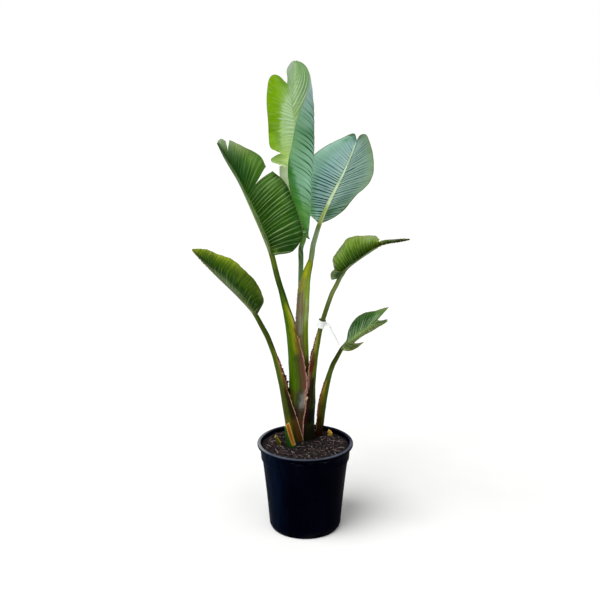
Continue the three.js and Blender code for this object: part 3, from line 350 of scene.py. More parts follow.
COLOURS = {
    "leaf_a": COMMON | {
        "across": {
            "upper right": [(0, "#5d7446"), (0.12, "#50683a"), (0.2, "#1c3a06"), (0.35, "#183a02"),
                            (0.5, "#365508"), (0.65, "#445f06"), (0.8, "#667c0b"), (0.95, "#93a228")],
            "upper left": [(0, "#5d7446"), (1, "#55702a")],
            "under left": [(0, "#4e5a3a"), (1, "#445236")],
            "under right": [(0, "#4e5a3a"), (1, "#445236")],
        },
        "zones": {
            "upper right": [
                # The first zone, grey along the midrib, is a painted highlight.
                (0.58, 0.0, 0.22, 0.16, "#8f9c84", 0.9), (0.93, 0.85, 0.09, 0.5, "#7f8c1c", 0.85),
                (1.02, 0.4, 0.09, 0.5, "#6c7a14", 0.95), (0.3, 0.85, 0.09, 0.3, "#415906", 0.9),
                (0.22, 1.0, 0.08, 0.3, "#3c5409", 0.9), (0.04, 0.6, 0.16, 0.9, "#122f02", 1.0)],
            # Grey along the midrib: a painted highlight.
            "upper left": [(0.62, 0.0, 0.22, 0.5, "#84907c", 0.9)],
            "under left": [
                (0.78, 0.8, 0.08, 0.4, "#6f7a66", 0.8), (0.2, 0.7, 0.2, 0.6, "#3a4e18", 0.8)],
        },
        "rib": "#a4c268", "rib_strength": 0.45, "rib_line": (0.84, 0.99), "rib_reach": 0.9,
        "shine": 0.08,
        "stalk": "#3c4f0c",
        "bands": [
            ("outside", [
                (545, 650, 0, 0.8, "#3d5a07", 0.8), (590, 680, 0, 1.2, "#343f0c", 0.8),
                (675, 730, 0, 1.2, "#3c5409", 0.8), (470, 560, 0, 0.76, "#41560b", 0.8),
                (470, 560, 0.72, 0.9, "#68641c", 0.85), (490, 580, 0.88, 1.2, "#8f6836", 0.9),
                (345, 480, 0, 0.6, "#3a450b", 0.9), (345, 455, 0.6, 0.78, "#2f3405", 0.85),
                (345, 450, 0.74, 1.2, "#1b0e04", 0.95), (435, 490, 0.86, 1.2, "#4c3110", 0.8),
                (240, 350, 0, 0.66, "#5b5313", 0.9), (240, 350, 0.66, 1.2, "#3e260b", 0.92)]),
            ("inside", [(240, 600, 0, 1.2, "#2a0c0c", 0.97)]),
            ("both", [(700, 780, 0, 1.2, "#8b9476", 0.75), (780, 960, 0, 1.2, "#9ca094", 0.75)]),
        ],
        "ragged": [(440, 560, 9, "#8a4a20", "#241410", 1.0),
                   (270, 450, 4.5, "#5a1416", "#c79a88", 2.0)],
    },
    "leaf_b": COMMON | {
        "across": {
            "upper right": [(0, "#4c7a18"), (0.12, "#42701e"), (0.3, "#386318"), (0.5, "#396215"),
                            (0.7, "#426a16"), (0.85, "#4a7028"), (1, "#3c6420")],
            "upper left": [(0, "#4a7618"), (1, "#3a6414")],
            "under left": [(0, "#5f8020"), (0.45, "#5a7a20"), (0.7, "#4b6d12"), (1, "#446710")],
            "under right": [(0, "#4b6d20"), (1, "#34502a")],
        },
        "borders": [("right", "upper", [(0.0, 0.93), (0.1, 0.9), (0.38, 0.9), (0.4, 0.95)],
                     0.05, 0.03, "#123e08", 0.95)],
        "zones": {
            "upper right": [
                (0.06, 0.65, 0.1, 0.8, "#164000", 1.0), (0.02, 0.14, 0.04, 0.1, "#7d9540", 0.8),
                (0.2, 0.85, 0.13, 0.2, "#1a4a02", 0.9), (0.42, 0.93, 0.05, 0.1, "#2f4618", 0.85),
                (0.46, 0.68, 0.035, 0.2, "#628648", 0.8), (0.5, 0.25, 0.05, 0.25, "#507c3c", 0.75),
                (0.6, 0.78, 0.045, 0.16, "#5c8232", 0.8), (0.68, 0.25, 0.1, 0.4, "#2c602a", 0.85),
                (0.72, 1.0, 0.1, 0.24, "#8c9a68", 0.9), (0.78, 0.5, 0.05, 0.3, "#41663a", 0.7),
                # The greyish patch at the tip's margin (0.95, 1.0) is painted sheen.
                (0.95, 0.3, 0.12, 0.4, "#64885a", 0.95), (0.95, 1.0, 0.16, 0.5, "#909a86", 0.95)],
            "both right": [(0.475, 1.02, 0.02, 0.09, "#120e08", 1.0)],
            "under left": [(0.92, 0.8, 0.22, 0.7, "#38503a", 0.95)],
        },
        "rib": "#c8e0a4", "rib_line": (0.7, 0.98), "rib_strength": 0.75, "shade": 0.85,
        "valley": (0.4, 0.58, 0.22), "rim_strength": 0.1, "fine_strength": 0.08,
        "faint": [("right", 0.82, 0.5, 0.22, 1.2, 0.9), ("right", 0.62, 0.5, 0.08, 1.2, 0.6),
                  ("right", 0.04, 0.6, 0.09, 0.6, 0.6)],
        "stalk": "#436203",
        "bands": [
            ("outside", [
                (600, 760, 0.56, 0.74, "#6a7c09", 0.85), (640, 715, 0.72, 1.2, "#7d860f", 0.85),
                (640, 705, 0.88, 1.2, "#a39a48", 0.8), (560, 645, 0.6, 0.76, "#6a780c", 0.85),
                (560, 610, 0.74, 0.9, "#665912", 0.9), (605, 650, 0.74, 0.9, "#7e7a12", 0.9),
                (560, 650, 0.88, 1.2, "#60461b", 0.9), (430, 560, 0.58, 0.76, "#38480d", 0.9),
                (430, 565, 0.74, 1.2, "#473a22", 0.92), (430, 565, 0.88, 1.2, "#573529", 0.92),
                (380, 440, 0, 0.6, "#454810", 0.9), (375, 440, 0.58, 0.9, "#2d2d1e", 0.92),
                (375, 440, 0.88, 1.2, "#7e7268", 0.85), (345, 430, 0.76, 0.9, "#6e6f6c", 0.85)]),
            # Painted shade: dark bands at the foot, where the stalks crowd together.
            ("both", [(240, 385, 0, 1.2, "#2a190e", 0.92), (240, 345, 0, 1.2, "#452e18", 0.8)]),
            ("inside", [(240, 640, 0, 1.2, "#300c0b", 0.95)]),
            ("both", [
                (715, 770, 0, 0.8, "#365608", 0.85), (745, 800, 0, 1.2, "#2e4612", 0.9),
                (795, 832, 0, 1.2, "#44561b", 0.9), (832, 885, 0, 1.2, "#5c6e20", 0.9),
                (885, 930, 0, 1.2, "#98ab7a", 0.85), (930, 1080, 0, 1.2, "#869b5e", 0.85),
                (1080, 1120, 0, 1.2, "#85937a", 0.85), (1120, 1230, 0, 1.2, "#55683e", 0.9)]),
        ],
        "ragged": [(270, 625, 7, "#5c1010", "#b98f80", 3.0)],
    },
    "leaf_c": COMMON | {
        "across": {
            "upper left": [(0, "#8ea24a"), (0.055, "#a2c286"), (0.15, "#a8c690"), (0.35, "#b0cd98"),
                           (0.6, "#b8d890")],
            "upper right": [(0, "#8ea24a"), (0.055, "#a2c286"), (0.12, "#8faf78"), (0.3, "#789a68"),
                            (1, "#769862")],
            "under left": [(0, "#5f9d48")],
            "under right": [(0, "#63a14c"), (0.35, "#88b298"), (0.5, "#90b4a2"), (0.65, "#84ac98"),
                            (0.8, "#78a286"), (1, "#709e74")],
        },
        "zones": {
            "upper left": [
                # The whitish and pale yellow patches from 0.33 to 0.53 are painted light: the pale
                # glow where strong light shines through the lobe.
                (0.33, 0.8, 0.07, 0.6, "#ffffea", 1.0), (0.44, 0.5, 0.06, 0.4, "#eaff9a", 0.92),
                (0.53, 0.4, 0.06, 0.3, "#cfee92", 0.7), (0.66, 0.12, 0.08, 0.3, "#bcd8a8", 0.6),
                (0.8, 0.15, 0.06, 0.35, "#90ac7c", 0.85), (0.87, 0.65, 0.06, 0.25, "#b6d6a6", 0.8),
                (0.95, 0.4, 0.09, 0.4, "#8fa68c", 0.7), (0.99, 0.8, 0.09, 0.5, "#c2ccc4", 0.97),
                (0.99, 0.25, 0.08, 0.3, "#a2b4a0", 0.9), (0.95, 0.08, 0.12, 0.22, "#8aa482", 0.85),
                (0.1, 0.3, 0.12, 1.2, "#346a1a", 1.0), (0.24, 0.4, 0.03, 0.5, "#103600", 1.0)],
            "upper right": [
                (0.05, 0.2, 0.12, 0.9, "#41701f", 1.0), (0.92, 0.45, 0.07, 0.15, "#6e9656", 0.7)],
            "under right": [
                (0.9, 0.9, 0.06, 0.3, "#a0b096", 0.8), (0.8, 0.78, 0.06, 0.14, "#bec8bc", 0.85),
                (0.52, 0.62, 0.045, 0.1, "#2c6a38", 0.75), (0.5, 0.8, 0.025, 0.16, "#4a7a54", 0.8),
                (0.72, 0.75, 0.16, 0.5, "#8ca4a6", 0.8), (0.27, 0.5, 0.12, 0.3, "#94c4a6", 0.8),
                (0.08, 0.65, 0.08, 0.4, "#5f9846", 0.95)],
        },
        "borders": [
            # The two bright yellow-green borders out to the left lobe's margin are painted light
            # shining through it.
            ("left", "upper", [(0.36, 0.72), (0.42, 0.6), (0.5, 0.62), (0.6, 0.58), (0.68, 0.48),
                               (0.74, 0.34), (0.8, 0.32)], 0.12, 0.03, "#82ae00", 1.0),
            ("left", "upper", [(0.36, 0.76), (0.5, 0.64), (0.56, 0.8)], 0.12, 0.05, "#a4d414", 0.9),
            ("right", "under", [(0.0, 0.78), (0.1, 0.82), (0.2, 0.84), (0.32, 0.98)],
             0.03, 0.03, "#286a10", 1.0),
        ],
        "lift": 1.3, "rib": "#eefae4", "under_rib": "#1c5630", "rib_strength": 0.75,
        "under_strength": 1.5, "rib_line": (0.45, 0.97), "shade": 0.4,
        "valley": (0.66, 0.78, 0.62), "blotch": (0.84, 0.9, 0.8), "through": 0.14,
        "rim_strength": 0.25, "finer": 1.6,
        "slant": {"left": ((0, 0.5, 0.72, 0.82, 0.9, 1), (0, -0.05, -0.04, 0.05, 0.3, 0.3)),
                  "right": ((0, 0.2, 0.55, 0.8, 1), (0, 0.06, 0.08, 0.42, 0.42))},
        "faint": [("left", 0.62, 1.0, 0.3, 0.55, 1.0), ("left", 0.74, 0.65, 0.1, 0.35, 1.0),
                  ("left", 0.58, 1.05, 0.3, 0.5, 1.0), ("left", 1.02, 0.5, 0.12, 1.2, 1.0),
                  ("right", 1.02, 0.5, 0.12, 1.2, 1.0), ("left", 0.3, 0.5, 0.12, 0.8, 0.8),
                  ("right", 0.8, 0.85, 0.12, 0.3, 0.8), ("right", 0.05, 0.7, 0.1, 0.6, 0.7)],
        "stalk": "#567548",
        "bands": [
            ("both", [
                (855, 885, 0, 0.62, "#294b25", 0.9), (890, 940, 0, 1.2, "#5c853c", 0.85),
                (990, 1440, 0, 1.2, "#b4cc94", 0.8)]),
        ],
    },
    "leaf_d": COMMON | {
        "across": {
            "upper left": [(0, "#3f6f1c")],
            "upper right": [(0, "#3f6f1c")],
            "under left": [(0, "#95afa2"), (0.15, "#8ca89a"), (0.3, "#829e90"), (0.5, "#7a9488"),
                           (0.65, "#728c7c"), (0.8, "#6e8976"), (1, "#6f8464")],
            "under right": [(0, "#9cb6ac"), (0.15, "#94b0a8"), (0.3, "#8aaeaa"), (0.5, "#8cb4ac"),
                            (0.65, "#84ae9c"), (0.8, "#8ab6a0"), (1, "#a4c8b8")],
        },
        "zones": {
            "under left": [
                (0.24, 0.6, 0.06, 0.3, "#58786a", 0.8), (0.12, 0.3, 0.08, 0.38, "#466c48", 0.97),
                (0.12, 1.0, 0.05, 0.12, "#2c4620", 0.9), (0.94, 0.82, 0.06, 0.2, "#485e42", 0.9),
                (0.86, 0.25, 0.05, 0.25, "#9cbaae", 0.6)],
            "under right": [
                (0.05, 0.35, 0.09, 0.45, "#b8e0c8", 0.85), (0.18, 0.85, 0.09, 0.28, "#5c9e3c", 0.95),
                (0.8, 0.35, 0.12, 0.4, "#86a29a", 0.8), (0.35, 0.65, 0.1, 0.1, "#74a480", 0.6),
                (0.98, 0.55, 0.07, 0.4, "#4c6c5c", 1.0), (0.88, 0.8, 0.03, 0.12, "#5c866c", 0.8)],
        },
        "borders": [
            ("right", "under", [(0.9, 1.0), (0.94, 0.76), (1.0, 0.7)], 0.04, 0.05, "#44561c", 0.9),
            ("left", "under", [(0.93, 1.0), (0.96, 0.84), (1.0, 0.8)], 0.04, 0.05, "#5a6a2a", 0.8),
        ],
        "lift": 1.45, "rib": "#7fa83a", "under_rib": "#123a3c", "under_strength": 2.2,
        "rib_line": (0.3, 0.92), "valley": (1.0, 1.0, 1.06), "blotch": (0.84, 0.86, 0.86),
        "rim": "#5d6a2c", "rim_strength": 0.6,
        "faint": [("left", 0.6, 0.9, 0.3, 0.4, 0.7), ("left", 0.95, 0.5, 0.2, 0.9, 0.6),
                  ("right", 0.95, 0.6, 0.28, 0.7, 0.85), ("right", 0.5, 0.9, 0.4, 0.45, 0.8),
                  ("right", 0.72, 0.6, 0.2, 0.9, 0.6)],
        "stalk": "#6e851a", "streak": 0.7,
        "bands": [
            # The dark bands at the foot are partly the sheath's own brown and partly painted shade
            # where the stalks crowd together.
            ("both", [
                (240, 545, 0, 1.2, "#4a4018", 0.85), (240, 500, 0, 1.2, "#3c2816", 0.9),
                (240, 345, 0, 1.2, "#20160c", 0.92)]),
            ("outside", [
                (350, 490, 0.62, 0.78, "#9a9a92", 0.75), (545, 665, 0, 0.5, "#677d14", 0.9),
                (545, 625, 0.48, 1.2, "#5b5930", 0.9), (560, 605, 0.72, 1.2, "#836450", 0.7),
                (620, 690, 0.58, 0.88, "#807e6b", 0.92), (650, 745, 0.46, 0.62, "#878e54", 0.9),
                (680, 765, 0.6, 0.88, "#766850", 0.9), (620, 750, 0.86, 1.2, "#6a5d4e", 0.92),
                (660, 740, 0, 0.48, "#8a9f5c", 0.9), (735, 795, 0, 0.6, "#7a9632", 0.9),
                (760, 800, 0.58, 1.2, "#8a883c", 0.85)]),
            ("both", [
                (795, 850, 0, 0.32, "#566a26", 0.85), (795, 855, 0.3, 0.62, "#7b8c20", 0.9),
                (795, 855, 0.6, 1.2, "#9ca41e", 0.95), (850, 890, 0, 1.2, "#7c926a", 0.9),
                (885, 945, 0, 1.2, "#92a688", 0.9), (942, 958, 0, 1.2, "#6a7a44", 0.8),
                (958, 1020, 0, 1.2, "#b8c884", 0.9), (1010, 1080, 0, 1.2, "#e0f4cc", 0.95),
                (1080, 1230, 0, 1.2, "#d4ecd0", 0.95)]),
        ],
        "ragged": [(300, 800, 3.4, "#6d5448", "#a89c92", 5.0)],
    },
    "leaf_e": COMMON | {
        "across": {
            "upper left": [(0, "#1f3c0a"), (0.12, "#33540a"), (0.26, "#406009"), (0.4, "#4a680c"),
                           (0.54, "#5c771c"), (0.7, "#72873a"), (0.85, "#7e903a"), (1, "#7c8c44")],
            "upper right": [(0, "#1f3a0c"), (1, "#2a4510")],
            "under left": [(0, "#66785a")],
            "under right": [(0, "#5c7044"), (1, "#66785a")],
        },
        "zones": {
            "upper left": [
                # The pale grey-olive patch at 0.55 and the grey-green one at 0.22 are painted
                # highlights on the curved blade.
                (0.6, 0.15, 0.1, 0.25, "#66821c", 0.9), (0.55, 0.8, 0.08, 0.35, "#8c986c", 0.8),
                (0.39, 0.55, 0.03, 0.18, "#4a6004", 0.85), (0.22, 0.7, 0.07, 0.2, "#74904c", 0.6),
                (0.64, 0.3, 0.04, 0.3, "#8a9a40", 0.8), (0.2, 1.0, 0.1, 0.2, "#5c7424", 0.9),
                (0.02, 0.6, 0.08, 1.2, "#0f3200", 1.0)],
            "under right": [
                (0.7, 0.9, 0.1, 0.5, "#9aa284", 0.8), (0.08, 0.3, 0.1, 0.25, "#203a16", 1.0)],
            "both left": [(0.9, 0.5, 0.14, 1.2, "#3c3c18", 0.97)],
            "both right": [(0.9, 0.5, 0.14, 1.2, "#3c3c18", 0.97)],
        },
        "rib": "#a8c468", "rib_strength": 0.4, "rib_line": (0.84, 0.99), "shine": 0.12,
        "stalk": "#4c5c16",
        "bands": [
            # Painted shade: near-black bands at the foot, where the stalks crowd together.
            ("both", [(240, 330, 0, 1.2, "#0e0b07", 0.97), (325, 390, 0, 1.2, "#000000", 0.98)]),
            ("outside", [
                (325, 390, 0.74, 1.2, "#240602", 0.9), (385, 420, 0, 0.48, "#262a08", 0.92),
                (415, 500, 0, 0.48, "#39420f", 0.9), (385, 480, 0.45, 0.64, "#080502", 0.95),
                (385, 480, 0.62, 1.2, "#1c0402", 0.97), (385, 445, 0.86, 1.2, "#300c04", 0.9),
                (448, 502, 0.86, 1.2, "#755450", 0.9), (475, 505, 0.62, 0.88, "#42200e", 0.85),
                (500, 565, 0, 0.6, "#4a5a0c", 0.85), (500, 548, 0.6, 1.2, "#4a1408", 0.97),
                (540, 572, 0.7, 1.2, "#583016", 0.9), (560, 605, 0, 0.62, "#465c0f", 0.85),
                (570, 632, 0.62, 0.8, "#68691a", 0.9), (570, 632, 0.76, 1.2, "#807636", 0.92),
                (600, 655, 0, 0.55, "#3f5010", 0.85), (628, 655, 0.6, 1.2, "#5c5a2c", 0.9)]),
            ("both", [
                (655, 718, 0, 1.2, "#455218", 0.9), (714, 746, 0, 1.2, "#525d33", 0.9),
                (744, 805, 0, 1.2, "#6b7740", 0.9), (800, 840, 0, 1.2, "#627850", 0.85),
                (835, 880, 0, 1.2, "#677660", 0.85), (875, 915, 0, 1.2, "#7a876b", 0.85),
                (912, 960, 0, 1.2, "#3a3a18", 0.9)]),
            ("inside", [(240, 560, 0, 1.2, "#220808", 0.97)]),
        ],
        "ragged": [(530, 632, 9, "#8a6a3a", "#301818", 6.0),
                   (290, 545, 5.5, "#5a1c14", "#c79c78", 7.0)],
    },
    "leaf_f": COMMON | {
        "across": {
            "upper left": [(0, "#8fa566"), (0.12, "#708c52"), (0.3, "#527642"), (0.45, "#3a6330"),
                           (0.6, "#2a5622"), (0.8, "#36602c"), (1, "#4a6c38")],
            "upper right": [(0, "#8fa566"), (0.15, "#6c7c48"), (0.35, "#5f6e3c"), (1, "#707a50")],
            "under left": [(0, "#5a7434")],
            "under right": [(0, "#5a6a2c"), (1, "#6e7a50")],
        },
        "zones": {
            "upper left": [
                (0.66, 0.55, 0.1, 0.4, "#6c944e", 0.95), (0.5, 0.75, 0.04, 0.25, "#3b6a1c", 0.7),
                (0.78, 0.6, 0.05, 0.4, "#5e7334", 0.85), (0.66, 1.0, 0.12, 0.16, "#92a862", 0.9),
                (0.95, 0.1, 0.08, 0.2, "#aab888", 0.8), (0.2, 0.8, 0.08, 0.5, "#2c5426", 0.8)],
            "both right": [
                (0.1, 0.6, 0.11, 0.9, "#343e08", 1.0), (0.04, 0.6, 0.035, 0.2, "#7d8c3a", 0.9)],
            "both left": [(0.06, 0.1, 0.08, 0.2, "#434f18", 0.9)],
        },
        "rib": "#cfe4c0", "rib_strength": 0.8, "rib_reach": 0.95, "shade": 0.75,
        "rib_line": (0.72, 0.98), "valley": (0.4, 0.6, 0.36),
        "faint": [("right", 0.5, 0.5, 0.9, 0.9, 0.6)],
        "stalk": "#3a4c0a",
        "bands": [
            # Painted shade: dark bands at the foot, where the stalks crowd together.
            ("both", [(240, 315, 0, 1.2, "#281a0c", 0.93), (240, 292, 0, 1.2, "#260a04", 0.9)]),
            ("outside", [
                (312, 342, 0, 0.6, "#313403", 0.92), (312, 342, 0.6, 1.2, "#301602", 0.93),
                (340, 390, 0, 0.62, "#333f05", 0.9), (340, 390, 0.6, 0.76, "#3c3802", 0.9),
                (340, 390, 0.74, 1.2, "#5a3b1a", 0.92), (386, 440, 0, 0.62, "#324c05", 0.92),
                (386, 440, 0.6, 0.76, "#565604", 0.9), (386, 420, 0.74, 1.2, "#72521a", 0.92),
                (415, 466, 0.74, 1.2, "#8e7822", 0.93), (436, 470, 0, 0.76, "#3a4b0a", 0.9),
                (466, 512, 0, 1.2, "#455615", 0.88)]),
            ("both", [(510, 596, 0, 1.2, "#333d0d", 0.9), (596, 690, 0, 1.2, "#9cb06e", 0.9)]),
            ("inside", [(240, 460, 0, 1.2, "#30100a", 0.95)]),
        ],
        "ragged": [(285, 470, 3.4, "#5c2412", "#b9813c", 8.0)],
    },
}

# Stubs of old leaves: foot, half width and half depth, how far the top leans, height of the
# cut's peak and its place to the right of the middle, the two planes of the cut (how far the
# right one drops per millimetre to the right and to the front, and the left one to the left and
# to the front), and colours of the skin at the foot and at the top, of the cut's rind, of its
# middle and of its heart
STUBS = {
    "cut_stub_front": {
        "foot": (-41, -20), "half": (16, 13), "lean": (-12, 0), "top": 347, "peak": 4,
        "fall": (4.4, 3.0, 0.65, -0.1),
        "colours": ("#16300a", "#2c5a10", "#e8d090", "#d89a1c", "#b0641a")},
    "cut_stub_left": {
        "foot": (-75, -9), "half": (8, 6), "lean": (-16, 0), "top": 304, "peak": -2,
        "fall": (2.4, 0.4, 0.8, 0.4),
        "colours": ("#302a0a", "#5c5a10", "#d9cf8a", "#c09a20", "#8a5416")},
    "cut_stub_right": {
        "foot": (82, 76), "half": (9, 7), "lean": (-3, 0), "top": 288, "peak": -4,
        "fall": (0.7, 0.3, 1.6, 0.3),
        "colours": ("#6a561e", "#c8aa34", "#ffe09a", "#ffcc40", "#a06c1c")},
}
# Depth in the potting mix, least height of the cut above it, width left at the top, shade at the
# lowest place of the cut, how far the cut face sinks and how high its rings stand in mm, and the
# mesh: sides, levels of the skin, rings of the cut and the ring at which its heart starts
STUB_DEPTH = 16
STUB_LOWEST_CUT = 7
STUB_TAPER = 0.8
CUT_SHADE = 0.45
CUT_SINK = 2.2
CUT_RINGS_RISE = 0.8
STUB_SIDES = 40
STUB_LEVELS = 9
STUB_CUT_RINGS = 6
STUB_HEART_RING = 4

# Feet of the stalks and stubs in the potting mix, in mm: centre x and y, half width, half depth
FEET = [
    (leaf["stalk"][0][0], leaf["stalk"][0][1], leaf["stalk"][0][3] + 2, leaf["stalk"][0][4] + 2)
    for leaf in LEAVES.values()
] + [(*stub["foot"], stub["half"][0] + 2, stub["half"][1] + 2) for stub in STUBS.values()]

# Blank label, in mm: height of the band, its width, its inner radius, half the thickness of the
# solid's band, its shift to the right, points of the tail after its root on the band, the tail's
# widths at both ends, and the mesh: thickness, sides of the band, points across and steps along
# the tail
LABEL_HEIGHT = 660
LABEL_BAND = 24
LABEL_RADIUS = 11
LABEL_HALF_WALL = 0.4
LABEL_SHIFT = -1.2
LABEL_TAIL = [(73, 2, 653), (81, 7, 635), (93, 14, 612), (105, 24, 585)]
LABEL_TAIL_WIDTH = (12, 2.5)
LABEL_THICKNESS = 0.7
LABEL_SIDES = 48
LABEL_COLUMNS = 5
LABEL_TAIL_STEPS = 40


# Curves and soft steps

class Route:
    """Smooth curve through points given in millimetres, read in metres"""

    def __init__(self, points):
        inner = np.array(points, float) * MM
        self.points = np.vstack([2 * inner[0] - inner[1], inner, 2 * inner[-1] - inner[-2]])
        self.spans = len(inner) - 1
        self.marks = np.linspace(0, 1, ROUTE_MARKS)
        line = self.at(self.marks)
        steps = np.linalg.norm(np.diff(line, axis=0), axis=1)
        self.lengths = np.concatenate([[0], np.cumsum(steps)])
        self.length = self.lengths[-1]

    def at(self, t):
        """Points at a share of the spans"""
        spot = np.clip(np.asarray(t, float), 0, 1) * self.spans
        first = np.minimum(spot.astype(int), self.spans - 1)
        mix = (spot - first)[..., None]
        before, here, after, beyond = [self.points[first + k] for k in range(4)]

        def gap(a, b):
            return np.maximum(np.linalg.norm(b - a, axis=-1), 1e-9)[..., None] ** 0.5

        step_in, step, step_out = gap(before, here), gap(here, after), gap(after, beyond)
        leave = ((here - before) / step_in - (after - before) / (step_in + step)
                 + (after - here) / step) * step
        arrive = ((after - here) / step - (beyond - here) / (step + step_out)
                  + (beyond - after) / step_out) * step
        return (here + leave * mix + (3 * (after - here) - 2 * leave - arrive) * mix ** 2
                + (2 * (here - after) + leave + arrive) * mix ** 3)

    def along(self, share):
        """Points at a share of the length"""
        reach = np.clip(np.asarray(share, float), 0, 1) * self.length
        return self.at(np.interp(reach, self.lengths, self.marks))

    def share_at(self, t):
        """Share of the length at a share of the spans"""
        return np.interp(t, self.marks, self.lengths) / self.length

    def way(self, share):
        """Unit tangents at a share of the length"""
        share = np.asarray(share, float)
        return unit(self.along(share + WAY_STEP) - self.along(share - WAY_STEP))


def unit(vectors):
    return vectors / np.maximum(np.linalg.norm(vectors, axis=-1, keepdims=True), 1e-12)


def ease(value, low, high):
    """Soft step from 0 at low to 1 at high"""
    x = np.clip((np.asarray(value, float) - low) / (high - low), 0, 1)
    return x * x * (3 - 2 * x)


def within(value, low, high, soft):
    """1 from low to high, with soft steps at both"""
    return ease(value, low - soft, low + soft) * (1 - ease(value, high - soft, high + soft))


def mm(values):
    return np.array(values, float) * MM


# Meshes

def new_piece(name, points, faces, material=None, maps=None, values=None, smooth=True):
    """Mesh object with UV maps and number, vector or colour attributes given by point"""
    mesh = bpy.data.meshes.new(name)
    mesh.from_pydata([tuple(p) for p in points], [], [tuple(int(k) for k in f) for f in faces])
    corners = np.zeros(len(mesh.loops), int)
    mesh.loops.foreach_get("vertex_index", corners)
    for map_name, places in (maps or {}).items():
        layer = mesh.uv_layers.new(name=map_name)
        layer.uv.foreach_set("vector", np.asarray(places, np.float32)[corners].ravel())
    for value_name, given in (values or {}).items():
        given = np.asarray(given, np.float32)
        kind, field = {1: ("FLOAT", "value"), 3: ("FLOAT_VECTOR", "vector"),
                       4: ("FLOAT_COLOR", "color")}[1 if given.ndim == 1 else given.shape[1]]
        attribute = mesh.attributes.new(value_name, kind, "POINT")
        attribute.data.foreach_set(field, given.ravel())
    mesh.validate()
    if smooth:
        mesh.shade_smooth()
        mesh.set_sharp_from_angle(angle=SHARP_ANGLE)
    if material:
        mesh.materials.append(material)
    piece = bpy.data.objects.new(name, mesh)
    bpy.context.scene.collection.objects.link(piece)
    return piece


def point_normals(points, faces):
    """Unit normals at the points of a surface of quads"""
    normals = np.zeros_like(points)
    a, b, c, d = [points[faces[:, k]] for k in range(4)]
    face_normals = np.cross(c - a, d - b)
    for k in range(4):
        np.add.at(normals, faces[:, k], face_normals)
    return unit(normals)


def open_edges(faces):
    """Edges of a surface that only one face has, as pairs in that face's order"""
    pairs = np.vstack([faces[:, [k, (k + 1) % faces.shape[1]]] for k in range(faces.shape[1])])
    known = {(int(a), int(b)) for a, b in pairs}
    return [(a, b) for a, b in known if (b, a) not in known]


def finish_piece(piece, node=None):
    """Fastens a piece to the body and in place of a node of the solids"""
    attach(piece, "root")
    if node:
        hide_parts(node)


def thicken(points, faces, thickness):
    """Closed body about a middle surface: points, faces and the open edges of the surface"""
    offset = point_normals(points, faces) * thickness / 2
    count = len(points)
    rim = open_edges(faces)
    walls = [(b, a, count + a, count + b) for a, b in rim]
    body = np.vstack([faces, faces[:, ::-1] + count, np.array(walls, int)])
    return np.vstack([points + offset, points - offset]), body, rim


def outwards(points, faces):
    """Faces of a closed body, turned so that they point outwards"""
    volume = 0
    for face in faces:
        p = points[list(face)]
        for k in range(1, len(face) - 1):
            volume += np.dot(p[0], np.cross(p[k], p[k + 1]))
    return faces if volume > 0 else [tuple(face)[::-1] for face in faces]


def circle(sides):
    """Cosine and sine of each corner of a round"""
    return [(math.cos(turn), math.sin(turn)) for turn in np.arange(sides) * 2 * math.pi / sides]


def tube_faces(rings, count):
    """Faces of a tube of rings of equally many points, with its ends closed"""
    k = np.arange(count)
    after = (k + 1) % count
    faces = [tuple(f) for ring in range(rings - 1) for f in np.column_stack([
        ring * count + k, ring * count + after,
        (ring + 1) * count + after, (ring + 1) * count + k])]
    return [tuple(k[::-1]), *faces, tuple((rings - 1) * count + k)]


def turned_faces(rings, sides):
    """Faces of a turned body: a point, rings of equally many points, and another point"""
    faces = []
    last = 1 + (rings - 1) * sides
    for k in range(sides):
        after = (k + 1) % sides
        faces.append((0, 1 + after, 1 + k))
        for here in range(1, last, sides):
            above = here + sides
            faces.append((here + k, here + after, above + after, above + k))
        faces.append((last + k, last + after, last + sides))
    return faces


def band_faces(first, rows, columns, closed=False):
    """Faces of a grid of points that starts at a count, with its last row joined to the first"""
    faces = []
    for row in range(rows if closed else rows - 1):
        here, after = first + row * columns, first + (row + 1) % rows * columns
        for column in range(columns - 1):
            faces.append((here + column, after + column, after + column + 1, here + column + 1))
    return faces


# Blades

def lobe_start(half, index):
    """Share of the midrib where a lobe starts"""
    return half["lobes"][index - 1]["to"] if index else 0


def lobe_at(half, share):
    """Count of the lobe at a share of the midrib"""
    for index, lobe in enumerate(half["lobes"]):
        if share <= lobe["to"] + 1e-9:
            return index
    return len(half["lobes"]) - 1


def half_points(leaf, half, index, share, out):
    """Points of one lobe: a row for each share of the midrib, a column for each share out"""
    route = leaf["route"]
    lobe = half["lobes"][index]
    share = np.atleast_1d(share)
    out = np.atleast_1d(out)[None, :, None]
    start = lobe_start(half, index)
    along = np.clip((share - start) / (lobe["to"] - start), 0, 1) ** half["lead"]
    middle = route.along(leaf["foot"] + (1 - leaf["foot"]) * share)[:, None]
    edge = lobe["curve"].along(along)[:, None]
    points = middle * (1 - out) + edge * out

    def pull(here, there, tear, distance):
        """Both sides of a tear follow one line from the midrib as far as the tear's end"""
        fade = np.maximum(0, 1 - distance / TEAR_FADE)[:, None, None]
        return (mm(there) - mm(here)) * 0.5 * fade * (1 - ease(out, tear, 1)) * out

    if "tear" in lobe:
        points = points + pull(lobe["edge"][-1], half["lobes"][index + 1]["edge"][0],
                               lobe["tear"], 1 - along)
    if index:
        before = half["lobes"][index - 1]
        points = points + pull(lobe["edge"][0], before["edge"][-1], before["tear"], along)
    tipward = np.maximum(0, share - BULGE_FADE_START) / (1 - BULGE_FADE_START)
    hump = np.sqrt(np.maximum(0, 4 * share * (1 - share))) * (1 - half.get("fade", 0) * tipward ** 2)
    return points + mm(half["bulge"]) * hump[:, None, None] * np.sin(math.pi * out)


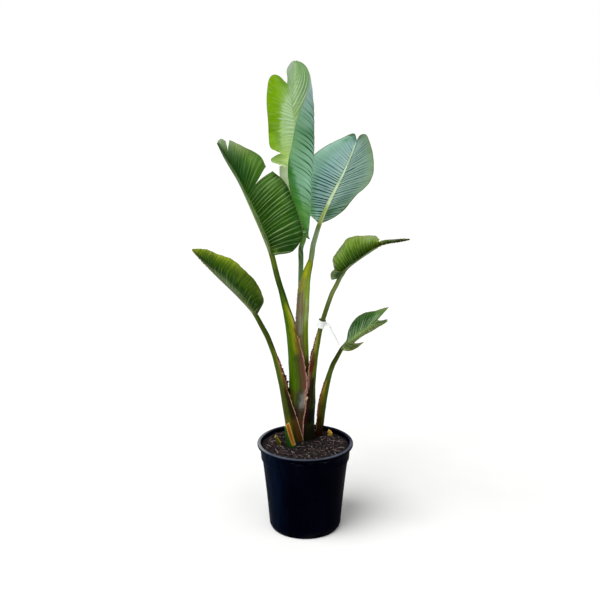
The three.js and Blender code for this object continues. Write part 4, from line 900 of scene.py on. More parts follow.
def blade_up(leaf, share):
    """Upper direction of the blade at its midrib"""
    at = min(max(share, 0.04), 0.9)
    along = leaf["foot"] + (1 - leaf["foot"]) * at
    middle, way = leaf["route"].along(along), leaf["route"].way(along)

    def away(half):
        side = half_points(leaf, half, lobe_at(half, at), at, 0.15)[0, 0] - middle
        return unit(side - way * side.dot(way))

    return unit(np.cross(away(leaf["right"]) - away(leaf["left"]), way))


def blade_surface(name, leaf):
    """Middle surface of both halves: points, faces, share along and signed share out"""
    rows = leaf["ribs"] * ROWS_PER_RIB
    outs = np.linspace(0, 1, COLUMNS + 1) ** COLUMN_SPACING
    points, coords, faces = [], [], []

    def add(point, share, out):
        points.append(point)
        coords.append((share, out))
        return len(points) - 1

    shares = np.arange(rows + 1) / rows
    spine = leaf["route"].along(leaf["foot"] + (1 - leaf["foot"]) * shares)
    middle = [add(spine[row], shares[row], 0) for row in range(rows + 1)]
    for half, sign in ((leaf["left"], -1), (leaf["right"], 1)):
        previous = None
        for index, lobe in enumerate(half["lobes"]):
            start = lobe_start(half, index)
            first, last = round(start * rows), round(lobe["to"] * rows)
            here = np.clip(np.arange(first, last + 1) / rows, start, lobe["to"])
            grid = half_points(leaf, half, index, here, outs)
            across = half_points(leaf, half, index, here, np.maximum(0, outs - 0.1)) - grid
            across[:, 0] = across[:, 1]
            way = leaf["route"].way(leaf["foot"] + (1 - leaf["foot"]) * here)[:, None]
            normal = unit(np.cross(across, np.broadcast_to(way, across.shape)))
            ends = (ease(here, 0, END_FADE) * ease(1 - here, 0, END_FADE))[:, None]
            places = np.broadcast_arrays(here[:, None], sign * outs)
            crest = rib_profile(rib_phase(name, leaf, *places)) * rib_shown(name, *places)
            rib = RIB_RELIEF / leaf["ribs"] * crest * np.minimum(1, 3 * (1 - outs) + 0.4)
            wave = half["wave"] * MM * outs ** 3 * (
                np.sin(here * EDGE_WAVE_RADIANS + index)[:, None]
                + EDGE_RIPPLE * np.sin(here * EDGE_RIPPLE_RADIANS + 2 * index)[:, None])
            grid = grid + normal * ((rib * np.minimum(1, 8 * outs) + wave) * ends)[..., None]
            tear = half["lobes"][index - 1]["tear"] if index else -1
            for row in range(len(here)):
                line = [middle[first + row]]
                for column in range(1, COLUMNS + 1):
                    if row == 0 and outs[column] <= tear + 1e-9:
                        line.append(previous[column])
                    else:
                        line.append(add(grid[row, column], here[row], sign * outs[column]))
                if row:
                    for column in range(COLUMNS):
                        corners = [previous[column], previous[column + 1],
                                   line[column + 1], line[column]]
                        faces.append(corners[::-1] if sign < 0 else corners)
                previous = line
    return np.array(points), np.array(faces), np.array(coords)


def rib_phase(name, leaf, share, out):
    """Count of ribs from the foot, unevenly spaced as on a grown leaf. Each is counted where it
    starts at the midrib, which is found by halving where the ribs climb outwards."""
    for half, slant in COLOURS[name]["slant"].items():
        side = np.abs(out) * (out < 0 if half == "left" else out > 0)
        low, high = share - 1, share + 0.5
        for _ in range(ROOT_HALVINGS):
            middle = (low + high) / 2
            above = middle + side * np.interp(middle, *slant) > share
            low, high = np.where(above, low, middle), np.where(above, middle, high)
        share = (low + high) / 2
    count = leaf["ribs"] * np.where(out < 0, COLOURS[name]["finer"], 1)
    return count * share + sum(
        height * np.sin(radians * share + start) for height, radians, start in RIB_UNEVENNESS)


def rib_profile(phase):
    """Sharp crests at whole counts, with a soft swell between them"""
    crest = np.exp(-(np.sin(math.pi * phase) / RIB_CREST) ** 2)
    return RIB_SWELL * np.cos(2 * math.pi * phase) + crest - RIB_SINK


def patch(half, at, away, reach, spread, share, out):
    """How much each point of a blade lies in a soft patch of one half"""
    side = out <= 0 if half == "left" else out >= 0
    return side * np.exp(-((share - at) / reach) ** 2 - ((np.abs(out) - away) / spread) ** 2)


def zone_colours(name, leaf, coords, face):
    """Colour at each point of one face, from the midrib to the margin, with borders and zones"""
    share, out = coords[:, 0], coords[:, 1]
    phase = rib_phase(name, leaf, share, out)
    jag = np.array([noise.noise(Vector((2.3 * p, 1.5 * o, 0))) for p, o in zip(phase, out)])
    jag += 0.6 * np.array([noise.noise(Vector((9.0 * p, 2 * o, 4))) for p, o in zip(phase, out)])
    colours = np.zeros((len(coords), 3))
    for half, side in (("left", out < 0), ("right", out >= 0)):
        stops, codes = zip(*COLOURS[name]["across"][f"{face} {half}"])
        bent = np.abs(out) + 0.05 * jag
        for k, level in enumerate(zip(*[paint(code) for code in codes])):
            colours[side, k] = np.interp(bent[side], stops, level)

    def lay(weight, colour):
        weight = np.asarray(weight)[:, None]
        return colours * (1 - weight) + np.array(paint(colour)) * weight

    for half, on_face, line, ragged, soft, colour, strength in COLOURS[name]["borders"]:
        if on_face != face:
            continue
        at, away = np.array(line).T
        beyond = np.abs(out) + ragged * jag - np.interp(share, at, away)
        side = out <= 0 if half == "left" else out >= 0
        along = ease(share, at[0] - 0.01, at[0]) * (1 - ease(share, at[-1], at[-1] + 0.01))
        colours = lay(side * along * strength * ease(beyond, -soft, soft), colour)
    bent = out + 0.1 * jag * np.sign(out)
    for key, zones in COLOURS[name]["zones"].items():
        on_face, half = key.split()
        if on_face in (face, "both"):
            for *spot, colour, strength in zones:
                colours = lay(strength * patch(half, *spot, share, bent), colour)
    return np.hstack([colours * COLOURS[name]["lift"], np.ones((len(coords), 1))])


def rib_shown(name, share, out):
    """How strongly the ribs show at each point of a blade"""
    shown = np.ones(np.shape(share))
    for half, at, away, reach, spread, strength in COLOURS[name]["faint"]:
        shown *= 1 - strength * patch(half, at, away, reach, spread, share, out)
    return shown


def make_blade(name, leaf):
    """Blade with its colours, ribs and margin kept at its points for the finish to read"""
    points, faces, coords = blade_surface(name, leaf)
    share, out = coords.T
    body, body_faces, rim = thicken(points, faces, BLADE_THICKNESS)
    edge = kdtree.KDTree(len(rim))
    for k, (a, _) in enumerate(rim):
        edge.insert(points[a], k)
    edge.balance()
    margin = [edge.find(p)[2] for p in points]
    maps = np.column_stack([0.5 + 0.5 * out, share])
    piece = new_piece(
        f"{name}_blade_surface", body, body_faces, blade_finish(name),
        {"blade": np.tile(maps, (2, 1))},
        {
            "tint": np.vstack([zone_colours(name, leaf, coords, face)
                               for face in ("upper", "under")]),
            "margin": np.tile(margin, 2),
            "upper_side": np.repeat((1, 0), len(points)),
            "rib_count": np.tile(rib_phase(name, leaf, share, out), 2),
            "rib_shown": np.tile(rib_shown(name, share, out), 2),
        })
    finish_piece(piece, f"{name}_blade")


# Stalks

def stalk_section(half_width, half_depth, gap_angle, wall):
    """Cross-section in its own plane, x towards the channel and y across. Each point has its
    x, y, how far round it is (0 at the back, 1 and -1 at the lips) and 1 in the channel."""
    end = math.pi - math.radians(gap_angle)
    lip = -half_width * math.cos(end)
    round_back = np.linspace(-end, end, OUTER_POINTS)
    outer = np.column_stack([-half_width * np.cos(round_back), half_depth * np.sin(round_back),
                             round_back / end, np.zeros(OUTER_POINTS)])
    rim = min(LIP_ROUNDING, 0.35 * half_depth * math.sin(end))
    reach = half_depth * math.sin(end) - rim
    depth = max(0.12 * half_width, lip + half_width - wall)
    turn = np.linspace(math.pi / 2, -math.pi / 2, INNER_POINTS)
    inner = np.column_stack([lip - depth * np.cos(turn), reach * np.sin(turn),
                             2 * turn / math.pi, np.ones(INNER_POINTS)])
    return np.vstack([outer, inner])


def station_sizes(stations, at):
    """Widths, depths, gap and wall at a place between stations"""
    spots = np.arange(len(stations))
    return [np.interp(at, spots, stations[:, k]) for k in range(stations.shape[1])]


def stalk_rings(leaf):
    """Rings of the stalk and midrib: points, how far round, in the channel or not, and length"""
    route, foot_t = leaf["route"], leaf["foot_t"]
    stations = np.array(leaf["stalk"], float)[:, 3:]
    stations[:, [0, 1, 3]] *= MM
    spans = len(stations) - 1
    opens, facing_blade = np.array(leaf["opens"], float), blade_up(leaf, 0)
    groove = math.cos(math.radians(MIDRIB_GROOVE))
    rings = []

    def place(point, way, up, section, drop, along):
        across = unit(np.cross(way, up))
        facing = unit(np.cross(across, way))
        centre = point - facing * drop
        ring = centre + section[:, :1] * facing + section[:, 1:2] * across
        rings.append((ring, section[:, 2], section[:, 3], np.full(len(ring), along)))

    def top_of(half_width):
        return CAD_BLADE_THICKNESS / 2 + GAP + half_width * groove

    for step in range(spans * RINGS_PER_STATION + 1):
        at = step / RINGS_PER_STATION
        half_width, half_depth, gap_angle, wall = station_sizes(stations, at)
        share = float(route.share_at(foot_t * at / spans))
        turn = ease(at, spans - 2.5, spans)
        up = opens * (1 - turn) + facing_blade * turn
        drop = top_of(half_width) * ease(at, spans - 1.2, spans - 0.2)
        way = np.array([0, 0, 1.0]) if step == 0 else route.way(share)
        place(route.along(share), way, up,
              stalk_section(half_width, half_depth, gap_angle, wall), drop, share * route.length)
    foot = stations[-1]
    for step in range(1, MIDRIB_RINGS):
        share = step / MIDRIB_RINGS
        taper = 1 - (1 - MIDRIB_TIP) * share ** MIDRIB_TAPER
        along = leaf["foot"] + (1 - leaf["foot"]) * share
        half_width = foot[0] * taper
        place(route.along(along), route.way(along), blade_up(leaf, share),
              stalk_section(half_width, foot[1] * taper, MIDRIB_GROOVE, half_width * 1.6),
              top_of(half_width), along * route.length)
    return [np.array([ring[k] for ring in rings]) for k in range(4)]


def band_colours(finish, places, round_it, inside):
    """Colour at each point of a stalk: its own colour with its bands laid over it"""
    colours = np.tile(np.array(paint(finish["stalk"])), (len(places), 1))
    wander = np.array([noise.noise(Vector(p) * 60) for p in places])
    fine = np.array([noise.noise(Vector((p[0] * 500, p[1] * 500, p[2] * 40))) for p in places])
    height = places[:, 2] / MM + BAND_WANDER * wander
    away = np.abs(round_it) + BAND_FRAY * fine
    for side, bands in finish["bands"]:
        there = {"outside": 1 - inside, "inside": inside, "both": 1}[side]
        for low, high, near, far, colour, strength in bands:
            weight = (within(height, low, high, BAND_SOFT) * within(away, near, far, BAND_BLUR)
                      * there * strength)[:, None]
            colours = colours * (1 - weight) + np.array(paint(colour)) * weight
    return np.hstack([STALK_LIFT * colours, np.ones((len(places), 1))])


def make_stalk(name, leaf):
    """Stalk with its sheath and the midrib, with its colours and the run of its fibres"""
    rings, round_it, inside, along = stalk_rings(leaf)
    points = rings.reshape(-1, 3)
    faces = outwards(points, tube_faces(*round_it.shape))
    angle = math.pi * round_it * (1 - inside) + math.pi * (2 - round_it) * inside
    fibres = np.stack([np.cos(angle), np.sin(angle), along * 6], axis=-1).reshape(-1, 3)
    tint = band_colours(COLOURS[name], points, round_it.ravel(), inside.ravel())
    piece = new_piece(f"{name}_stalk_surface", points, faces, stalk_finish(name),
                      values={"tint": tint, "fibres": fibres})
    finish_piece(piece, f"{name}_stalk")


def make_sheath_edges(name, leaf):
    """Dry, ragged edges of a sheath, which stand on from its two lips"""
    rings = stalk_rings(leaf)[0]
    heights = rings[:, 0, 2] / MM
    outs = np.linspace(0, 1, SHEATH_EDGE_COLUMNS)
    points, faces, tints, fibres = [], [], [], []
    for low, high, width, inner, outer, seed in COLOURS[name]["ragged"]:
        inner, outer = np.array(paint(inner)), np.array(paint(outer))
        rows = np.flatnonzero((heights >= low) & (heights <= high))
        for lip, behind in ((0, 1), (OUTER_POINTS - 1, OUTER_POINTS - 2)):
            faces.extend(band_faces(len(points), SHEATH_EDGE_STEPS, SHEATH_EDGE_COLUMNS))
            for step in np.linspace(rows[0], rows[-1], SHEATH_EDGE_STEPS):
                here = int(min(step, rows[-1] - 1))
                mix = step - here
                at, back = [rings[here, k] * (1 - mix) + rings[here + 1, k] * mix
                            for k in (lip, behind)]
                height = at[2] / MM
                ends = ease(height, low, low + SHEATH_EDGE_END) * (
                    1 - ease(height, high - SHEATH_EDGE_END, high))
                torn = 0.55 + 0.6 * noise.noise(Vector((height * 0.09, seed, lip)))
                torn += 0.6 * noise.noise(Vector((height * 0.3, seed, 3)))
                reach = width * MM * max(0.08, torn) * (0.15 + 0.85 * ends)
                curl = np.array([0, -0.35, 0.0]) * reach
                for out in outs:
                    points.append(at + unit(at - back) * (reach * out - SHEATH_EDGE_ROOT)
                                  + curl * out ** 2)
                    tints.append((*(inner * (1 - out) + outer * out), 1))
                    fibres.append((out * 0.4, seed, height * 0.006))
    body, body_faces, _ = thicken(np.array(points), np.array(faces), SHEATH_EDGE_THICKNESS)
    piece = new_piece(f"{name}_sheath_edges", body, body_faces, dry_finish(name),
                      values={"tint": tints * 2, "fibres": fibres * 2})
    finish_piece(piece)


# Materials

class Nodes:
    """A node tree that nodes are added to with their settings and inputs"""

    def __init__(self, tree):
        self.tree = tree

    def add(self, kind, inputs=None, **settings):
        node = self.tree.nodes.new(kind)
        for key, value in settings.items():
            setattr(node, key, value)
        for key, value in (inputs or {}).items():
            if isinstance(value, bpy.types.NodeSocket):
                self.tree.links.new(value, node.inputs[key])
            else:
                node.inputs[key].default_value = value
        return node


class Finish(Nodes):
    """One material, with short ways to add nodes to it"""

    def __init__(self, name):
        self.material = bpy.data.materials.new(name)
        self.material.use_nodes = True
        super().__init__(self.material.node_tree)
        self.tree.nodes.clear()

    def maths(self, operation, *values, clamp=False):
        node = self.add("ShaderNodeMath", dict(enumerate(values)), operation=operation)
        node.use_clamp = clamp
        return node.outputs[0]

    def times(self, *values, clamp=False):
        return self.maths("MULTIPLY", *values, clamp=clamp)

    def plus(self, *values):
        return self.maths("ADD", *values)

    def step(self, value, low, high, start=0.0, end=1.0):
        """Soft step from start at low to end at high"""
        return self.add("ShaderNodeMapRange", {
            "Value": value, "From Min": low, "From Max": high, "To Min": start, "To Max": end,
        }, interpolation_type="SMOOTHSTEP").outputs[0]

    def mix(self, factor, under, over, blend="MIX"):
        def colour(value):
            return (*value, 1) if isinstance(value, tuple) and len(value) == 3 else value
        return self.add("ShaderNodeMix", {0: factor, 6: colour(under), 7: colour(over)},
                        data_type="RGBA", blend_type=blend).outputs[2]

    def noise(self, vector, scale, detail=3.0, roughness=0.55, distortion=0.0):
        return self.add("ShaderNodeTexNoise", {
            "Vector": vector, "Scale": scale, "Detail": detail, "Roughness": roughness,
            "Distortion": distortion}).outputs[0]

    def place(self):
        return self.add("ShaderNodeTexCoord").outputs["Object"]

    def read(self, name, output="Fac"):
        return self.add("ShaderNodeAttribute", attribute_name=name).outputs[output]

    def distance(self, a, b):
        return self.add("ShaderNodeVectorMath", {0: a, 1: b},
                        operation="DISTANCE").outputs["Value"]

    def join(self, x, y, z=0.0):
        return self.add("ShaderNodeCombineXYZ", {"X": x, "Y": y, "Z": z}).outputs[0]

    def scaled(self, vector, scale):
        return self.add("ShaderNodeMapping", {"Vector": vector, "Scale": scale}).outputs[0]

    def bump(self, height, distance, strength=1.0, onto=None):
        inputs = {"Height": height, "Distance": distance, "Strength": strength}
        if onto is not None:
            inputs["Normal"] = onto
        return self.add("ShaderNodeBump", inputs).outputs[0]

    def done(self, colour, roughness, normal=None, glow=0.0, glow_colour=None, **more):
        """Ends the material in one shader, or in a mix with light that shines through"""
        inputs = {"Base Color": colour, "Roughness": roughness}
        inputs.update({key.replace("_", " "): value for key, value in more.items()})
        if normal is not None:
            inputs["Normal"] = normal
        surface = self.add("ShaderNodeBsdfPrincipled", inputs).outputs[0]
        if glow:
            through = self.add("ShaderNodeBsdfTranslucent", {"Color": glow_colour})
            if normal is not None:
                self.tree.links.new(normal, through.inputs["Normal"])
            mixed = self.add("ShaderNodeMixShader",
                             {0: glow, 1: surface, 2: through.outputs[0]})
            surface = mixed.outputs[0]
        self.tree.links.new(surface, self.add("ShaderNodeOutputMaterial").inputs["Surface"])
        return self.material


def blade_finish(name):
    """Leaf blade: ribs, fine veins, blotches, painted shade between the ribs, a thin dry margin and
    gloss on the upper face
    """
    look = COLOURS[name]
    f = Finish(f"{name}_blade_finish")
    tint = f.read("tint", "Color")
    upper = f.read("upper_side")
    margin = f.read("margin")
    uv = f.add("ShaderNodeSeparateXYZ",
               {"Vector": f.add("ShaderNodeUVMap", uv_map="blade").outputs[0]}).outputs
    out = f.maths("ABSOLUTE", f.maths("MULTIPLY_ADD", uv["X"], 2.0, -1.0))
    place = f.place()
    wander = f.times(f.maths("SUBTRACT", f.noise(place, 30, 1), 0.5), 0.16)
    phase = f.plus(f.read("rib_count"), wander)
    crest = f.maths("COSINE", f.times(phase, 2 * math.pi))
    across = f.times(uv["X"], 5.0)
    thick = f.noise(f.join(f.times(phase, 1.3), across, upper), 1.0, 1, 0.5)
    fine = f.noise(f.join(f.times(phase, 6.0), across, upper), 1.0, 2, 0.6)
    hair = f.noise(f.join(f.times(phase, 24.0), across, upper), 1.0, 2, 0.5)
    panel = f.noise(f.join(f.maths("FLOOR", phase), f.times(across, 0.4), upper), 0.7, 1)
    broad = f.noise(place, 13, 4, 0.6)

    fade = f.times(f.step(out, look["rib_reach"], look["rib_reach"] - 0.6), f.read("rib_shown"))
    line = f.times(f.step(crest, *look["rib_line"]), f.step(thick, 0.3, 0.6, 0.35, 1.0))
    line = f.times(line, f.step(panel, 0.3, 0.6, 0.45, 1.0))
    shown = f.maths("MULTIPLY_ADD", upper, look["rib_strength"] - look["under_strength"],
                    look["under_strength"])
    line = f.times(f.times(line, fade), shown, clamp=True)
    colour = f.mix(f.step(broad, 0.35, 0.72), tint, look["blotch"], "MULTIPLY")
    colour = f.mix(f.step(panel, 0.35, 0.65, 0.0, 0.35), colour, look["valley"], "MULTIPLY")
    # Painted shade in the grooves between the ribs, where their relief would shade them.
    valley = f.times(f.step(crest, 0.5, -0.6), f.step(thick, 0.7, 0.35, 0.4, 1.0))
    valley = f.times(valley, f.times(fade, look["shade"]))
    colour = f.mix(valley, colour, look["valley"], "MULTIPLY")
    colour = f.mix(f.step(fine, 0.52, 0.3, 0.0, 0.5), colour, look["valley"], "MULTIPLY")
    light = f.times(f.step(fine, 0.5, 0.75), look["fine_strength"])
    light = f.times(light, upper)
    colour = f.mix(light, colour, paint(look["rib"]))
    colour = f.mix(f.step(hair, 0.5, 0.3, 0.0, 0.35), colour, look["valley"], "MULTIPLY")
    colour = f.mix(line, colour, f.mix(upper, paint(look["under_rib"]), paint(look["rib"])))
    specks = f.times(f.step(f.noise(place, 160, 2, 0.5), 0.70, 0.76),
                     f.step(f.noise(place, 9, 1), 0.45, 0.65, 0.0, 0.7))
    colour = f.mix(specks, colour, paint("#4a3a1a"))
    ragged = f.noise(place, 70, 3, 0.6)
    rim_at = f.plus(margin, f.times(f.maths("SUBTRACT", 0.5, ragged), 0.004))
    colour = f.mix(f.step(rim_at, 0.0035, 0.0008, 0.0, look["rim_strength"]), colour,
                   paint(look["rim"]))

    height = f.plus(f.times(fine, 0.7), f.times(hair, 0.3))
    normal = f.bump(height, 0.0009, 0.6)
    normal = f.bump(f.noise(place, 45, 3, 0.6), 0.002, 0.35, normal)
    rough = f.step(f.noise(place, 30, 3), 0.3, 0.7, 0.3, 0.45)
    rough = f.plus(rough, f.times(f.maths("SUBTRACT", 1.0, upper), 0.2))
    glow_colour = f.mix(0.75, colour, paint(look["glow"]), "OVERLAY")
    return f.done(colour, rough, normal, look["through"], glow_colour,
                  Specular_IOR_Level=look["shine"])


def stalk_finish(name):
    """Leaf stalk: lengthwise fibres, streaks and specks, with a satin skin"""
    f = Finish(f"{name}_stalk_finish")
    tint, fibres, place = f.read("tint", "Color"), f.read("fibres", "Vector"), f.place()
    streak = f.noise(f.scaled(fibres, (3.5, 3.5, 0.9)), 1.0, 4, 0.6)
    hair = f.noise(f.scaled(fibres, (14, 14, 1.2)), 1.0, 2, 0.5)
    strength = COLOURS[name]["streak"]
    colour = f.mix(f.step(streak, 0.35, 0.7, 0.0, strength), tint, (0.4, 0.42, 0.26), "MULTIPLY")
    colour = f.mix(f.step(hair, 0.5, 0.8, 0.0, strength), colour, (2.0, 1.9, 1.7), "MULTIPLY")
    colour = f.mix(f.step(f.noise(place, 20, 2), 0.5, 0.75, 0.0, 0.3), colour,
                   (0.4, 0.35, 0.2), "MULTIPLY")
    specks = f.step(f.noise(place, 190, 2, 0.4), 0.68, 0.75, 0.0, 0.6)
    colour = f.mix(specks, colour, paint("#3b2a14"))
    normal = f.bump(f.plus(streak, f.times(hair, 0.5)), 0.0012, 0.5)
    rough = f.step(streak, 0.3, 0.7, 0.3, 0.5)
    return f.done(colour, rough, normal, Specular_IOR_Level=0.05)


def dry_finish(name):
    """Dry, torn edge of a sheath, with dark scraps and pale tissue"""
    f = Finish(f"{name}_dry_finish")
    tint, fibres, place = f.read("tint", "Color"), f.read("fibres", "Vector"), f.place()
    streak = f.noise(f.scaled(fibres, (9, 9, 8)), 1.0, 3, 0.6)
    colour = f.mix(f.step(streak, 0.3, 0.7, 0.0, 0.5), tint, (0.35, 0.22, 0.16), "MULTIPLY")
    scraps = f.noise(place, 55, 2)
    colour = f.mix(f.step(scraps, 0.62, 0.7, 0.0, 0.85), colour, paint("#1c100c"))
    colour = f.mix(f.step(scraps, 0.4, 0.3, 0.0, 0.7), colour, paint("#dcb8a0"))
    return f.done(colour, f.step(streak, 0.3, 0.7, 0.55, 0.8), f.bump(streak, 0.0008, 0.6))


def pot_finish():
    """Black moulded plastic with faint draw marks and scuffs, a painted bluish sheen, painted glints
    and a painted highlight on the lip
    """
    f = Finish("pot_plastic")
    place = f.place()
    parts = f.add("ShaderNodeSeparateXYZ", {"Vector": place}).outputs
    drawn = f.noise(f.scaled(place, (60, 60, 6)), 1.0, 3, 0.6)
    grain = f.noise(place, 900, 2, 0.5)
    cloud = f.noise(place, 9, 4, 0.6)
    colour = f.mix(f.step(cloud, 0.35, 0.75), paint("#000007"), paint("#01020b"))
    # Painted sheen: a bluish reflection laid on the left side of the pot.
    left_sheen = f.times(f.step(parts["X"], -0.04, -0.115), f.step(drawn, 0.35, 0.65, 0.3, 1.0))
    colour = f.mix(f.times(left_sheen, 0.85), colour, paint("#041226"))
    colour = f.mix(f.step(drawn, 0.58, 0.8, 0.0, 0.3), colour, paint("#050d18"))
    scuff = f.step(f.noise(f.scaled(place, (30, 30, 90)), 1.0, 5, 0.7), 0.66, 0.75, 0.0, 0.35)
    colour = f.mix(scuff, colour, paint("#1a222b"))
    # Painted glints: bright scratch-like marks on the step under the lip, towards the front left.
    under_lip = f.times(f.step(parts["Z"], 0.254, 0.262), f.step(parts["Z"], 0.270, 0.266))
    under_lip_glint = f.step(f.noise(f.scaled(place, (22, 22, 240)), 1.0, 3, 0.6), 0.54, 0.66)
    under_lip_glint = f.times(under_lip_glint, f.step(parts["X"], -0.03, -0.1, 0.15, 1.0))
    colour = f.mix(f.times(under_lip, under_lip_glint), colour, paint("#5c6a78"))
    # Painted highlight in patches along the top of the lip, at the front.
    rim_highlight = f.times(f.step(parts["Z"], *RIM_HIGHLIGHT), f.step(cloud, 0.3, 0.6, 0.45, 1.0))
    rim_highlight = f.times(rim_highlight, f.step(parts["Y"], 0.03, -0.03, 0.25, 0.9))
    colour = f.mix(rim_highlight, colour, paint("#565b6a"))
    # Painted highlight: a pale grey ring on the left of the lip's top.
    pale = f.times(f.step(parts["Z"], *RIM_HIGHLIGHT), f.step(parts["X"], -0.1, -0.14, 0.0, 0.7))
    colour = f.mix(pale, colour, paint("#8e9294"))
    low_dust = f.times(f.step(parts["Z"], 0.03, 0.0, 0.0, 0.12), f.step(cloud, 0.4, 0.7))
    colour = f.mix(low_dust, colour, paint("#4a4238"))
    normal = f.bump(drawn, 0.0008, 0.4)
    normal = f.bump(grain, 0.0002, 0.35, normal)
    rough = f.step(cloud, 0.3, 0.7, 0.34, 0.5)
    return f.done(colour, rough, normal, Specular_IOR_Level=0.004)


def mix_finish():
    """Dark potting mix, with a mossy grey-green patch in front of the clump and painted shade round
    its foot
    """
    f = Finish("potting_mix")
    place = f.place()
    crumbs = f.noise(place, 170, 5, 0.7)
    broad = f.noise(place, 16, 3, 0.6)
    cells = f.add("ShaderNodeTexVoronoi", {"Vector": place, "Scale": 210.0}).outputs[0]
    colour = f.mix(f.step(crumbs, 0.35, 0.7), paint("#030202"), paint("#251b1a"))
    colour = f.mix(f.step(broad, 0.5, 0.75, 0.0, 0.4), colour, paint("#332826"))
    moss = f.times(f.step(f.distance(place, MOSS_PLACE), MOSS_REACH, 0.3 * MOSS_REACH),
                   f.step(f.noise(place, 90, 3), 0.35, 0.6))
    colour = f.mix(f.times(moss, 0.7), colour, paint("#2c332c"))
    colour = f.mix(f.step(cells, 0.12, 0.03, 0.0, 0.4), colour, paint("#5a4a48"))
    # Painted shade: the mix darkens round the foot of the clump.
    clump_shade = f.step(f.distance(place, CLUMP_SHADE_PLACE), 1.4 * CLUMP_SHADE_REACH, CLUMP_SHADE_REACH, 0.0, 0.8)
    colour = f.mix(clump_shade, colour, paint("#080707"))
    normal = f.bump(f.plus(crumbs, f.times(cells, -0.6)), 0.004, 0.9)
    return f.done(colour, 0.92, normal, Specular_IOR_Level=0.2)


def bits_finish(name, dark, light, grey):
    """Bark bits and fibres, each with a shade of its own"""
    f = Finish(name)
    shade, place = f.read("shade"), f.place()
    grain = f.noise(f.scaled(place, (240, 240, 240)), 1.0, 4, 0.6)
    colour = f.mix(f.step(shade, 0.1, 0.85), paint(dark), paint(light))
    colour = f.mix(f.step(shade, 0.86, 0.97), colour, paint(grey))
    colour = f.mix(f.step(grain, 0.4, 0.7, 0.0, 0.6), colour, (0.3, 0.25, 0.2), "MULTIPLY")
    return f.done(colour, 0.85, f.bump(grain, 0.0008, 0.7), Specular_IOR_Level=0.3)


def cut_finish():
    """Cut leaf base: green skin and a fibrous yellow-orange cut face"""
    f = Finish("cut_stub_finish")
    tint, fibres, place = f.read("tint", "Color"), f.read("fibres", "Vector"), f.place()
    streak = f.noise(f.scaled(fibres, (5, 5, 3)), 1.0, 4, 0.65)
    pores = f.add("ShaderNodeTexVoronoi", {"Vector": place, "Scale": 420.0}).outputs[0]
    colour = f.mix(f.step(streak, 0.3, 0.7, 0.0, 0.65), tint, (0.5, 0.34, 0.16), "MULTIPLY")
    colour = f.mix(f.step(pores, 0.25, 0.05, 0.0, 0.35), colour, paint("#3a220c"))
    normal = f.bump(f.plus(streak, f.times(pores, 0.5)), 0.0015, 0.6)
    return f.done(colour, f.step(streak, 0.3, 0.7, 0.45, 0.7), normal, Specular_IOR_Level=0.1)


def label_finish():
    """Blank white label of thin soft plastic, slightly soiled"""
    f = Finish("label_plastic")
    place = f.place()
    cloud = f.noise(place, 60, 4, 0.6)
    colour = f.mix(f.step(cloud, 0.4, 0.75), paint("#f4f5f3"), paint("#dfe2df"))
    colour = f.mix(f.step(f.noise(place, 240, 2), 0.58, 0.7, 0.0, 0.7), colour, paint("#85857e"))
    return f.done(colour, f.step(cloud, 0.3, 0.7, 0.4, 0.55), f.bump(cloud, 0.0006, 0.5))


def floor_finish():
    """Near-white matt floor"""
    f = Finish("studio_floor")
    cloud = f.noise(f.place(), 3, 2)
    return f.done(f.mix(f.step(cloud, 0.3, 0.7), paint("#f2f2f1"), paint("#f5f5f4")), 0.9,
                  Specular_IOR_Level=0.1)


# Pot

def arc(centre, radius, start, end, steps):
    """Points of an arc in the profile's plane, angles in degrees from the outward direction"""
    turns = np.radians(np.linspace(start, end, steps))
    return [(centre[0] + radius * math.cos(a), centre[1] + radius * math.sin(a)) for a in turns]


def pot_profile():
    """Outline of the pot's wall in mm, from the middle of the underside round to the inside"""
    return [
        (0, 1.5), (88, 1.5), (92, 0), (104, 0),
        *arc((105, 3), 3, -80, -20, 4),
        *arc((110.5, 12.5), 2.5, -30, 6, 3),
        (117, 60), (121.5, 110), (126.5, 160), (131, 200), (133.6, 219),
        *arc((137, 223.5), 3.2, 190, 118, 5),
        *arc((135.2, 230.5), 3.2, -62, 4, 5),
        (139.4, 246), (141.4, 264),
        *arc((145, 267), 3.4, 185, 110, 5),
        (147.8, 270.2),
        *arc((146.3, 272.8), 3.6, -50, 10, 5),
        *arc((145, 275.2), 4.9, 0, 88, 8),
        *arc((142.8, 276.4), 3.4, 100, 175, 5),
        (138.4, 266), (135.5, 231), (131, 222), (123.5, 160), (118.5, 110), (114, 60),
        (110, 16), (104, 4), (98, 3), (0, 3),
    ]


def make_pot():
    """Pot turned from its profile, with drain slots cut through its lower corner"""
    (_, foot), *profile, (_, floor) = np.array(pot_profile()) * MM
    points = [(0, 0, foot)]
    for radius, height in profile:
        points.extend((radius * x, radius * y, height) for x, y in circle(POT_SIDES))
    points = np.array([*points, (0, 0, floor)])
    faces = outwards(points, turned_faces(len(profile), POT_SIDES))
    pot = new_piece("pot_moulding", points, faces, pot_finish())
    cut_drain_slots(pot)
    finish_piece(pot, "pot")


